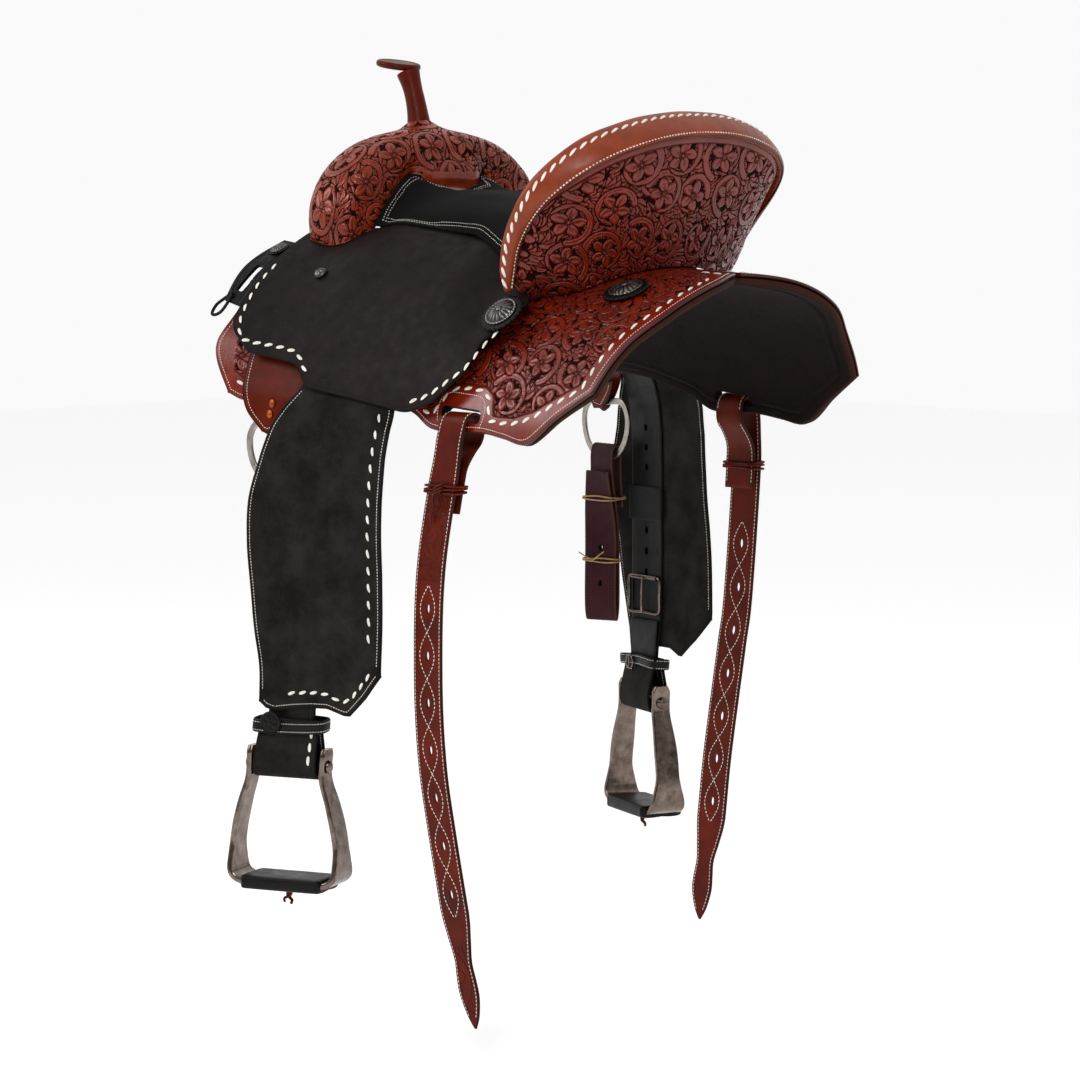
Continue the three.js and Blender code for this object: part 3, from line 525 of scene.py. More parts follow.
class Heap:
    """Collects many small solids into one mesh."""

    def __init__(self):
        self.verts, self.faces, self.count = [], [], 0
        self.tone = []

    def add(self, verts, faces, tone=0.0):
        self.verts.append(np.asarray(verts, float))
        self.faces += [[int(v) + self.count for v in f] for f in faces]
        self.tone.append(np.full(len(verts), tone) if np.isscalar(tone)
                         else np.asarray(tone, float))
        self.count += len(verts)

    def build(self, name, body, material, **more):
        tone = np.concatenate(self.tone)
        attributes = {"tone": tone, "edge": np.zeros(len(tone))}
        return make(name, np.concatenate(self.verts), self.faces, body, material,
                    attributes=attributes, **more)


def tube(line, radius, sides=10, closed=False, flat=1.0, up=None):
    """A round or flattened tube along a line of points; radius may change along it."""
    line = np.asarray(line, float)
    t = tangents(line, closed)
    radius = np.broadcast_to(np.asarray(radius, float), (len(line),))
    normal = np.array(up if up is not None else (0.13, 0.21, 0.97), float)
    if up is None and abs(np.dot(unit(normal), t[0])) > 0.9:
        normal = np.array((1.0, 0.1, 0.0))
    rings = []
    angle = circle(sides)
    for p, d, r in zip(line, t, radius):
        normal = unit(normal - d * np.dot(normal, d))
        across = np.cross(d, normal)
        rings.append(p + r * (np.cos(angle)[:, None] * across + flat * np.sin(angle)[:, None]
                              * normal))
    return loft(rings, closed)


def stitch(p, q, normal, wide, high, sides=6, rings=5, skew=0.0):
    """One stitch: a thread that comes out at p, lies on the surface and dives in at q."""
    along = unit(q - p)
    across = unit(np.cross(normal, along))
    up = np.cross(along, across)
    length = np.linalg.norm(q - p)
    share = np.linspace(0, 1, rings)
    swell = np.sin(np.pi * (0.08 + 0.84 * share)) ** 0.6
    angle = circle(sides)
    loops = []
    for s, g in zip(share, swell):
        centre = p + along * length * s + up * high * (1.35 * g - 1.1)
        centre = centre + across * skew * (s - 0.5) * 2
        loops.append(centre + wide * g * np.cos(angle)[:, None] * across
                     + high * g * np.sin(angle)[:, None] * up)
    return loft(loops)


def sew(heap, line, normals, length, pitch, wide, high, skew=0.0, sides=6, rings=5):
    """Stitches of one length along a line of points."""
    line, normals = np.asarray(line, float), np.asarray(normals, float)
    run = run_along(line)
    total = run[-1]
    count = max(1, int(round(total / pitch)))
    pitch = total / count
    for k in range(count):
        a = k * pitch
        ends = [np.array([np.interp(a + d, run, line[:, c]) for c in range(3)])
                for d in (0, length)]
        n = unit(np.array([np.interp(a + length / 2, run, normals[:, c]) for c in range(3)]))
        if a + length <= total + 1e-6:
            heap.add(*stitch(ends[0], ends[1], n, wide, high, sides, rings, skew))


def rope_sew(heap, line, normals, length, pitch, half, high=0.9, skew=1.2):
    """Stitches of rawhide lace: rounder and closer meshed than thread."""
    sew(heap, line, normals, length, pitch, half, high, skew=skew, sides=8, rings=7)


def turned(heap, profile, place, axis, sides=48, wave=None, tone=None):
    """A turned solid of [radius, height] pairs; wave(radius, height, angle) moves its points."""
    axis = unit(np.asarray(axis, float))
    u = unit(np.cross(axis, (0.0, 0.31, 0.95)))
    v = np.cross(axis, u)
    angle = circle(sides)
    rings, tones = [], []
    for r, h in profile:
        rr, hh = np.full(sides, float(r)), np.full(sides, float(h))
        if wave:
            rr, hh = wave(rr, hh, angle)
        way = np.cos(angle)[:, None] * u + np.sin(angle)[:, None] * v
        rings.append(place + rr[:, None] * way + hh[:, None] * axis)
        tones.append(tone(rr, hh, angle) if tone else np.zeros(sides))
    verts, faces = loft(rings)
    extra = [tones[0].mean(), tones[-1].mean()]
    heap.add(verts, faces, np.concatenate([np.concatenate(tones), extra]))


def cut(obj, *cutters):
    """Takes the cutter solids out of obj for good."""
    for verts, faces in cutters:
        mesh = bpy.data.meshes.new("cutter")
        mesh.from_pydata((np.asarray(verts) * MM).tolist(), [], [list(map(int, f)) for f in faces])
        tool = bpy.data.objects.new("cutter", mesh)
        bpy.context.scene.collection.objects.link(tool)
        modifier = obj.modifiers.new("cut", "BOOLEAN")
        modifier.object, modifier.operation, modifier.solver = tool, "DIFFERENCE", "EXACT"
        graph = bpy.context.evaluated_depsgraph_get()
        result = bpy.data.meshes.new_from_object(obj.evaluated_get(graph), depsgraph=graph)
        obj.modifiers.clear()
        obj.data = result
        bpy.data.objects.remove(tool)


# ---------- surfaces shared with the frame ----------
PLANE = 4.1      # millimetres of skirt for a degree down the side


def barrel(x, t, h, side):
    x, t, h = np.broadcast_arrays(np.asarray(x, float), np.asarray(t, float), np.asarray(h, float))
    u = x / 300
    width, ridge, a = 250 + 30 * u + 34 * u**2, 80 + 30 * u + 10 * u**2, np.radians(t)
    ny, nz = 221 * np.sin(a), width * np.cos(a)
    length = np.hypot(ny, nz)
    y = width * np.sin(a) + h * ny / length
    return np.stack([x, side * y, ridge - 221 * (1 - np.cos(a)) + h * nz / length], axis=-1)


def barrel_normal(x, t, side):
    return unit(barrel(x, t, 1, side) - barrel(x, t, 0, side))


def barrel_place(points, side):
    """The (x, t, h) of points near one side of the barrel."""
    p = np.asarray(points, float)
    x, y, z = p[..., 0], p[..., 1] * side, p[..., 2]
    u = x / 300
    width, ridge = 250 + 30 * u + 34 * u**2, 80 + 30 * u + 10 * u**2
    t = np.degrees(np.arctan2(np.maximum(y, 0.01) / width,
                              np.maximum((z - ridge + 221) / 221, 0.02)))
    h = np.zeros_like(t)
    for _ in range(12):
        q = barrel(x, t, h, side)
        n = barrel_normal(x, t, side)
        e = p - q
        h = h + (e * n).sum(-1)
        down = unit(barrel(x, t + 0.5, h, side) - barrel(x, t - 0.5, h, side))
        size = np.linalg.norm(barrel(x, t + 0.5, h, side) - barrel(x, t - 0.5, h, side), axis=-1)
        t = np.clip(t + (e * down).sum(-1) / np.maximum(size, 1.0) * 0.9, -5, 120)
    return x, t, h


def lerp(a, b, t):
    return a + (b - a) * t


def jockey_under(x, t):
    rear, front = smooth((x + 110) / 70), smooth((185 - x) / 95)
    height = np.where(x < 0, lerp(1, 22, rear), lerp(2, 22, front))
    return 17.5 + height * smooth((66 - t) / 36)


def jockey_top(x, t):
    return jockey_under(x, t) + 4


# ---------- flat outlines: x and PLANE * t ----------
def outline_sides(outline, nu, nv):
    counts = {"top": nu, "bottom": nu, "rear": nv, "front": nv}
    return {key: evenly(np.array(outline[key]) * [1, PLANE], n + 1) for key, n in counts.items()}


def coons(outline, nu, nv):
    """A grid of flat points that fills an outline."""
    return filled(outline_sides(outline, nu, nv))


def filled(s):
    """A Coons patch: a grid of points between four sides that meet at their corners."""
    top, bottom, rear, front = s["top"], s["bottom"], s["rear"], s["front"]
    u, v = np.linspace(0, 1, len(top))[:, None, None], np.linspace(0, 1, len(rear))[None, :, None]
    corner = ((1 - u) * (1 - v) * top[0] + u * (1 - v) * top[-1] + (1 - u) * v * bottom[0]
              + u * v * bottom[-1])
    return (top[:, None] * (1 - v) + bottom[:, None] * v + rear[None] * (1 - u)
            + front[None] * u - corner)


def closed_border(s, spacing):
    """Even points round four sides: along the top, down the front, back and up the rear."""
    loop = np.concatenate([s["top"][:-1], s["front"][:-1], s["bottom"][::-1][:-1],
                           s["rear"][::-1][:-1]])
    closed = np.vstack([loop, loop[:1]])
    return even(closed, np.linspace(0, 1, int(line_length(closed) / spacing) + 1)[:-1], bent=False)


def border(outline, spacing=4.0):
    return closed_border(outline_sides(outline, 400, 400), spacing)


def distance_to(points, loop, closed=True):
    """Distance of flat points from a polyline."""
    flat = points.reshape(-1, 2).astype(np.float32)
    a = loop.astype(np.float32)
    b = np.roll(a, -1, 0) if closed else a[1:]
    a = a if closed else a[:-1]
    ab = b - a
    size = np.maximum((ab**2).sum(1), 1e-9)
    best = np.full(len(flat), 1e9, np.float32)
    for start in range(0, len(flat), 20000):
        part = flat[start:start + 20000]
        low = best[start:start + 20000]
        for k in range(0, len(a), 64):
            ap = part[:, None] - a[None, k:k + 64]
            w = np.clip((ap * ab[None, k:k + 64]).sum(-1) / size[None, k:k + 64], 0, 1)
            d = ap - w[..., None] * ab[None, k:k + 64]
            low = np.minimum(low, (d**2).sum(-1).min(1))
        best[start:start + 20000] = low
    return np.sqrt(best).reshape(points.shape[:-1])


def inset(line, distance):
    """The line moved sideways by a distance."""
    t = tangents(line)
    return line + np.stack([-t[:, 1], t[:, 0]], axis=1) * distance


def rounding(d, radius):
    """How far a rounded edge lies below the full thickness at a distance d from the border."""
    return radius - np.sqrt(np.maximum(radius**2 - np.maximum(radius - d, 0) ** 2, 0))


# ---------- floral tooling: a height and a tone over a flat sheet ----------
class Tooling:
    """Flowers inside curling stems, with leaves between, cut into a stippled dark ground."""

    def __init__(self, wide, high, seed=7, cell=0.6, spacing=56.0):
        self.cell = cell
        self.nx, self.ny = int(wide / cell) + 1, int(high / cell) + 1
        self.random = np.random.RandomState(seed)
        self.height = -1.05 + 0.3 * self.random.rand(self.nx, self.ny)
        self.tone = 0.02 + 0.16 * self.random.rand(self.nx, self.ny)
        centres = self.scatter(wide, high, spacing)
        for c in centres:
            self.leaves(c)
        for c in centres:
            self.stem(c)
        for c in centres:
            self.flower(c)

    def scatter(self, wide, high, spacing):
        rows = []
        down = spacing * 0.87
        for j in range(-1, int(high / down) + 2):
            for i in range(-1, int(wide / spacing) + 2):
                shift = self.random.uniform(-0.1, 0.1, 2) * spacing
                rows.append(np.array([(i + 0.5 * (j % 2)) * spacing, j * down]) + shift)
        return rows

    def window(self, line, reach):
        low = np.floor((line.min(0) - reach) / self.cell).astype(int)
        high = np.ceil((line.max(0) + reach) / self.cell).astype(int) + 1
        low = np.maximum(low, 0)
        high = np.minimum(high, [self.nx, self.ny])
        if (high <= low).any():
            return None
        x = np.arange(low[0], high[0])[:, None] * self.cell
        y = np.arange(low[1], high[1])[None, :] * self.cell
        return (slice(low[0], high[0]), slice(low[1], high[1])), np.broadcast_arrays(x, y)

    def brush(self, line, widths, level=0.0, groove=0.45, cut=1.0, veins=0.0):
        """A raised stroke with a beaten-down edge; widths run along the line."""
        line, widths = np.asarray(line, float), np.asarray(widths, float)
        found = self.window(line, widths.max() + cut + 0.5)
        if found is None:
            return
        where, (x, y) = found
        best = np.full(x.shape, -1e9)
        inside, along, wide = np.zeros(x.shape), np.zeros(x.shape), np.ones(x.shape)
        for k in range(len(line) - 1):
            a, b = line[k], line[k + 1]
            ab = b - a
            w = np.clip(((x - a[0]) * ab[0] + (y - a[1]) * ab[1]) / max(ab @ ab, 1e-9), 0, 1)
            d = np.hypot(x - a[0] - w * ab[0], y - a[1] - w * ab[1])
            r = widths[k] + w * (widths[k + 1] - widths[k])
            margin = r - d
            closer = margin > best
            best = np.where(closer, margin, best)
            inside = np.where(closer, d, inside)
            along = np.where(closer, (k + w) / (len(line) - 1), along)
            wide = np.where(closer, np.maximum(r, 0.3), wide)
        edge = (best < 0) & (best > -cut)
        h, t = self.height[where], self.tone[where]
        h[edge] = np.minimum(h[edge], -0.85)
        t[edge] = 0.0
        body = best >= 0
        crown = level + 0.3 * np.sqrt(np.clip(best / 1.4, 0, 1)) - 0.3
        line_cut = bell(inside, 0.55) * groove * np.clip((1 - along) * 3, 0, 1) * (wide > 1.2)
        comb = 0.0
        if veins:
            comb = veins * (0.5 + 0.5 * np.cos(along * 2 * np.pi * 7 + inside * 1.6))
            comb = comb * (inside > 0.5) * (wide > 1.6)
        h[body] = (crown - line_cut - 0.35 * comb)[body]
        t[body] = np.clip(0.5 + 0.5 * np.clip(best / 1.2, 0, 1) - 1.1 * line_cut - 0.65 * comb,
                          0.05, 1)[body]

    def arc(self, centre, radius, start, sweep, count=14, curl=0.0):
        s = np.linspace(0, 1, count)
        angle = start + sweep * s
        r = radius * (1 - curl * s)
        return np.stack([centre[0] + r * np.cos(angle), centre[1] + r * np.sin(angle)], axis=1)

    def stem(self, c):
        """A stem that curls round its flower, scalloped along its inside, and ends in a bud."""
        start = self.random.uniform(0, 2 * np.pi)
        turn = self.random.choice([-1, 1])
        radius = self.random.uniform(24.5, 27.5)
        line = self.arc(c, radius, start, turn * 4.9, 34, 0.3)
        self.brush(line, np.concatenate([np.linspace(4.3, 2.6, 24), np.linspace(2.5, 1.4, 10)]),
                   0.1, 0.5, 1.2, 0.45)
        for k in range(14):
            share = 0.06 + 0.7 * k / 13
            p = line[int(share * 33)]
            inward = (np.asarray(c) - p) / max(np.linalg.norm(np.asarray(c) - p), 1e-6)
            self.bead(p + inward * (5.4 - 1.6 * share), 1.15)
        self.bead(line[-1], 2.6)

    def bead(self, p, radius):
        self.brush(np.array([p, p + 0.01]), [radius, radius], -0.05, 0.0, 0.8)

    def leaves(self, c):
        """Fans of curved fingers that root on the stem, like acanthus."""
        turn = self.random.choice([-1, 1])
        count = 8
        for k in range(count):
            a = 2 * np.pi * k / count + self.random.uniform(-0.15, 0.15)
            root = np.asarray(c) + 24 * np.array([math.cos(a), math.sin(a)])
            for finger in (3, 2, 1, 0, -1):
                size = (19, 17, 14, 10.5, 8)[abs(finger)] * self.random.uniform(0.9, 1.1)
                lean = a + turn * (0.25 + 0.42 * finger)
                s = np.linspace(0, 1, 8)
                angle = lean + turn * (0.15 + 1.25 * s)
                step = size / 7
                line = root + np.cumsum(np.stack([np.cos(angle), np.sin(angle)], axis=1),
                                        axis=0) * step
                width = 2.5 * np.sin(np.pi * (0.2 + 0.72 * s)) ** 0.8 + 0.3
                self.brush(line, width, self.random.uniform(-0.12, 0.12), 0.6, 1.1)

    def flower(self, c):
        start = self.random.uniform(0, 2 * np.pi)
        c = np.asarray(c)
        bend = self.random.choice([-1, 1]) * 0.3
        for k in range(5):
            a = start + 2 * np.pi * k / 5
            s = np.linspace(0, 1, 10)
            for lobe, reach, fat in ((-0.36, 0.72, 0.62), (0.36, 0.72, 0.62), (0, 1, 1)):
                angle = a + bend * s + lobe * s**0.5
                r = 2.6 + 15.0 * reach * s
                line = c + np.stack([r * np.cos(angle), r * np.sin(angle)], axis=1)
                width = fat * (1.0 + 4.9 * np.sin(np.pi * (0.04 + 0.93 * s**1.15)) ** 0.9)
                self.brush(line, width, 0.15 * reach, 0.75, 1.0)
            for side in (-0.16, 0.16):
                r = np.linspace(5.0, 11.5, 6)
                angle = a + bend * (r - 2.6) / 15 + side
                self.scratch(c + np.stack([r * np.cos(angle), r * np.sin(angle)], axis=1), 0.5)
        for k in range(7):
            a = start + 2 * np.pi * k / 7
            self.bead(c + 3.0 * np.array([math.cos(a), math.sin(a)]), 0.95)
        self.brush(np.array([c, c + 0.01]), [1.7, 1.7], 0.45, 0.0, 0.8)

    def scratch(self, line, wide):
        """A cut line."""
        found = self.window(line, 3)
        if found is None:
            return
        where, (x, y) = found
        near = np.full(x.shape, 1e9)
        for k in range(len(line) - 1):
            a, ab = line[k], line[k + 1] - line[k]
            w = np.clip(((x - a[0]) * ab[0] + (y - a[1]) * ab[1]) / max(ab @ ab, 1e-9), 0, 1)
            near = np.minimum(near, np.hypot(x - a[0] - w * ab[0], y - a[1] - w * ab[1]))
        deep = bell(near, wide)
        self.height[where] -= 0.5 * deep
        self.tone[where] *= 1 - 0.75 * deep

    def look(self, x, y):
        """Height and tone at sheet places, which wrap round the sheet's far edges."""
        span_x, span_y = (self.nx - 1) * self.cell, (self.ny - 1) * self.cell
        x = span_x - np.abs(np.mod(x, 2 * span_x) - span_x)
        y = span_y - np.abs(np.mod(y, 2 * span_y) - span_y)
        i = np.clip(x / self.cell, 0, self.nx - 1.001)
        j = np.clip(y / self.cell, 0, self.ny - 1.001)
        i0, j0 = i.astype(int), j.astype(int)
        fi, fj = i - i0, j - j0

        def mixed(f):
            return ((f[i0, j0] * (1 - fi) + f[i0 + 1, j0] * fi) * (1 - fj)
                    + (f[i0, j0 + 1] * (1 - fi) + f[i0 + 1, j0 + 1] * fi) * fj)
        return mixed(self.height), mixed(self.tone)


SHEET = Tooling(620, 380)


def tool(x, y, inside, plain=0.78):
    """Height and tone, with tooling only where inside is positive, framed by a cut line."""
    h, t = SHEET.look(x, y)
    share = smooth(inside / 1.6)
    frame_cut = bell(inside, 0.9)
    height = h * share - 0.75 * frame_cut
    tone = lerp(plain, t, share) * (1 - 0.85 * frame_cut)
    return height, tone


# ---------- skirts and linings ----------
SKIRT = {
    "top": [[-306, 1], [-150, 1], [-20, 2], [60, 8], [150, 18], [215, 27], [238, 36]],
    "rear": [[-306, 1], [-331, 14], [-331, 33], [-310, 48], [-296, 64]],
    "bottom": [[-296, 64], [-252, 72.6], [-210, 81.4], [-172, 80.8], [-140, 80.2], [-62, 81.4],
               [-34, 78], [-8, 76.5], [40, 74.8], [120, 76], [180, 81], [205, 83.7], [227, 82.5]],
    "front": [[238, 36], [253, 60], [257, 69.5], [227, 82.5]],
}
FINE = (2.3, 3.4)            # length and spacing of the fine white stitches
BUCK = (10.5, 17.5, 2.1)     # length, spacing and half width of the rawhide buckstitches
SLOT = (-134, -75, 73.9, 77.8, 5.5)   # a rear billet's slot: x and degrees, corner radius
STITCH_EDGE = 6              # how far the fine stitches run inside a skirt's border
RELIEF = 1.5                 # how much deeper the skirts' and cantle's carving is than the sheet's
SWELL_RELIEF = 1.3


def buck_line(loop_sides):
    """The buckstitch line of a skirt: up the rear and along the bottom, round the billet's slot."""
    rear = inset(loop_sides["rear"], -18)
    rear = rear[int(len(rear) * 0.16):]
    low = np.array([[-240, 69.3], [-216, 73.2], [-186, 76.0], [-160, 76.4], [-148, 76.2],
                    [-144.5, 73], [-141, 69.9], [-130, 68.2], [-106, 68.0], [-88, 68.6],
                    [-76, 71.2], [-66, 75.8], [-56, 77.4], [-40, 74.6], [-8, 72.4], [40, 70.8],
                    [120, 72], [180, 77], [203, 79.6], [222, 77.4]]) * [1, PLANE]
    return np.concatenate([rear, low])


def rounded_slot(x0, x1, t0, t1, radius, count=8):
    y0, y1 = t0 * PLANE, t1 * PLANE
    pts = []
    for cx, cy, a0 in ((x1 - radius, y1 - radius, 0), (x0 + radius, y1 - radius, 90),
                       (x0 + radius, y0 + radius, 180), (x1 - radius, y0 + radius, 270)):
        for k in range(count + 1):
            a = math.radians(a0 + 90 * k / count)
            pts.append([cx + radius * math.cos(a), cy + radius * math.sin(a)])
    return np.array(pts)


def prism(loop, low, high, side):
    rings = [barrel(loop[:, 0], loop[:, 1] / PLANE, h, side) for h in (low, high)]
    return loft(rings)


def on_barrel(line, h, side):
    x, t = line[:, 0], line[:, 1] / PLANE
    return barrel(x, t, h, side), barrel_normal(x, t, side)


def make_skirt(name, side):
    nu, nv = (576, 336)
    g = coons(SKIRT, nu, nv)
    loop = border(SKIRT)
    d = distance_to(g, loop)
    buck = buck_line(outline_sides(SKIRT, 200, 200))
    to_buck = distance_to(g, buck, False)
    polygon = np.concatenate([buck, [[236, 60 * PLANE], [214, 34 * PLANE], [150, 22 * PLANE],
                                     [-20, 5 * PLANE], [-298, 5 * PLANE]]])
    inside = np.where(in_polygon(g, polygon), to_buck - 6.5, -5)
    top_gap = distance_to(g, outline_sides(SKIRT, 200, 200)["top"], False)
    inside = np.minimum(inside, top_gap - 9)
    h, tone = tool(g[..., 0] + 340, g[..., 1] + 7, inside)
    slot_loop = rounded_slot(*SLOT)
    x, t = g[..., 0], g[..., 1] / PLANE
    crease = bell(d, 0.8, 3.2) * 0.35
    height = h * RELIEF - rounding(d, 1.9) - crease
    edge = bell(d, 2.2)
    outer = barrel(x, t, height, side)
    inner = barrel(x, t, -5 + rounding(d, 1.2), side)
    obj = shell(f"skirt_shape_{name}", outer, inner, "saddle", "carved", step=8,
                tone=tone * (1 - 0.3 * crease), edge=edge, replaces=[f"skirt_{name}"],
                slot="leather_carved")
    cut(obj, prism(slot_loop, -30, 20, side))
    fine, rope = Heap(), Heap()
    sides = outline_sides(SKIRT, 400, 400)
    path = np.concatenate([inset(sides["rear"], -STITCH_EDGE)[3:],
                           inset(sides["bottom"], -STITCH_EDGE)[3:-3],
                           inset(sides["front"], STITCH_EDGE)[::-1][3:]])
    path = path[distance_to(path, loop) > 5.2]
    sew(fine, *on_barrel(path, 0.1, side), *FINE, 0.51, 0.45)
    key = np.array([[-135, 79.0], [-138.5, 76.4], [-138, 72.2], [-131, 70.2], [-104, 69.7],
                    [-80, 70.2], [-71.5, 72.2], [-69, 75.4], [-71, 79.0]]) * [1, PLANE]
    sew(fine, *on_barrel(evenly(key, 120), 0.1, side), *FINE, 0.51, 0.45)
    fine.build(f"skirt_stitching_{name}", "saddle", "thread")
    rope_sew(rope, *on_barrel(evenly(buck, 500), 0.25, side), *BUCK)
    ridge = evenly(np.array([[-300, 5.2], [-262, 4.6]]) * [1, PLANE], 20)
    rope_sew(rope, *on_barrel(ridge, 0.25, side), *BUCK)
    rope.build(f"skirt_buckstitch_{name}", "saddle", "lace")


def in_polygon(points, polygon):
    flat = points.reshape(-1, 2)
    inside = np.zeros(len(flat), bool)
    x, y = flat[:, 0], flat[:, 1]
    a, b = polygon, np.roll(polygon, -1, 0)
    for (x0, y0), (x1, y1) in zip(a, b):
        crosses = (y0 > y) != (y1 > y)
        inside ^= crosses & (x < (x1 - x0) * (y - y0) / ((y1 - y0) or 1e-9) + x0)
    return inside.reshape(points.shape[:-1])


def make_lining(name, side):
    g = coons(SKIRT, 200, 110)
    d = distance_to(g, border(SKIRT))
    x, t = g[..., 0], g[..., 1] / PLANE
    random = np.random.RandomState(11)
    nap = 0.3 * random.rand(*x.shape)
    groove = bell(d, 1.6, 15) * 1.4 - bell(d, 2.2, 19.5) * 1.2
    wave = 0.5 * np.sin(x / 23 + t / 3.1) + 0.35 * np.sin(x / 9.0 - t / 2.3)
    outer = barrel(x, t, -5.4 - rounding(d, 1.0), side)
    inner = barrel(x, t, -14.4 + rounding(d, 4.5) + np.minimum(d / 6, 1)
                   * (groove + nap + 0.5 + 0.4 * wave), side)
    obj = shell(f"skirt_lining_shape_{name}", outer, inner, "saddle", "lining", edge=bell(d, 3),
                replaces=[f"skirt_lining_{name}"], slot="lining")
    cut(obj, prism(rounded_slot(*SLOT), -30, 20, side))
    seam = Heap()
    sides = outline_sides(SKIRT, 300, 300)
    path = inset(sides["bottom"], -9)[6:-6]
    line, normal = on_barrel(path, -13.2, side)
    sew(seam, line, -normal, 2.6, 4.2, 0.5, 0.4)
    seam.build(f"lining_stitching_{name}", "saddle", "black_thread")


# ---------- seat jockeys ----------
JOCKEY = {
    "top": [[-139, 39], [-104, 32.5], [-60, 23.5], [-10, 20], [60, 20], [110, 21], [160, 26],
            [200, 28], [230, 30]],
    "rear": [[-139, 39], [-148, 41], [-146, 44.6]],
    "bottom": [[-146, 44.6], [-136, 50.5], [-121, 56], [-114, 64.3], [-79, 74], [-39, 78.3],
               [108, 76.4], [129, 71.3], [196, 70.5]],
    "front": [[230, 30], [230, 55], [228, 64], [196, 70.5]],
}
JOCKEY_EDGE = {
    "top": JOCKEY["top"], "rear": JOCKEY["rear"], "front": JOCKEY["front"],
    "bottom": [[-146, 44.6], [-136, 50.5], [-121, 56], [-114, 64.3], [-98, 69.2], [-79, 74],
               [-60, 76.6], [-39, 78.3], [0, 77.9], [60, 77.2], [100, 76.7], [108, 76.2],
               [114, 74.8], [122, 72.3], [129, 71.3], [160, 70.8], [196, 70.5]],
}


def make_jockey(name, side):
    g = coons(JOCKEY_EDGE, 300, 120)
    loop = border(JOCKEY_EDGE)
    d = distance_to(g, loop)
    x, t = g[..., 0], g[..., 1] / PLANE
    crease = bell(d, 0.9, 3.4) * 0.4
    waves = 0.35 * np.sin(x / 31 + 1.3) * np.sin(t / 6.1 + 0.4)
    lift = np.minimum(d / 12, 1)
    outer = barrel(x, t, jockey_top(x, t) + lift * waves - rounding(d, 1.9) - crease, side)
    inner = barrel(x, t, jockey_under(x, t) + rounding(d, 1.2), side)
    shell(f"seat_jockey_shape_{name}", outer, inner, "saddle", "jockey", step=4, edge=bell(d, 2.4),
          tone=crease, replaces=[f"seat_jockey_{name}"], slot="leather_black")
    rope = Heap()
    front = np.array([[222, 44], [224, 50], [222.5, 57], [219, 63], [208, 67.3], [190, 67.8],
                      [160, 67.6], [130, 68.2], [121, 69.8], [113, 72.2], [105, 73.6]]) * [1, PLANE]
    rear = np.array([[-137, 52.5], [-129, 55.6], [-122, 59.6], [-112, 64.4], [-96, 67.8],
                     [-78, 71.6], [-58, 74.4], [-40, 75.6]]) * [1, PLANE]
    for path in (front, rear):
        line = evenly(path, 200)
        x, t = line[:, 0], line[:, 1] / PLANE
        rope_sew(rope, barrel(x, t, jockey_top(x, t) + 0.3, side), barrel_normal(x, t, side),
                 BUCK[0] * 0.95, 16.5, BUCK[2])
    rope.build(f"jockey_buckstitch_{name}", "saddle", "lace")


# ---------- rigging plates, rivets and rings ----------
PLATE = {
    "top": [[114, 67], [206, 67]],
    "rear": [[114, 67], [115, 76], [132, 84], [152, 90.5]],
    "bottom": [[152, 90.5], [162, 92], [172, 91.5]],
    "front": [[206, 67], [204, 78], [194, 86], [172, 91.5]],
}
RIVETS = [[159, 82.9], [161, 86]]


def plate_low(t):
    return 1.8 + 3.2 * smooth((t - 74) / 8)


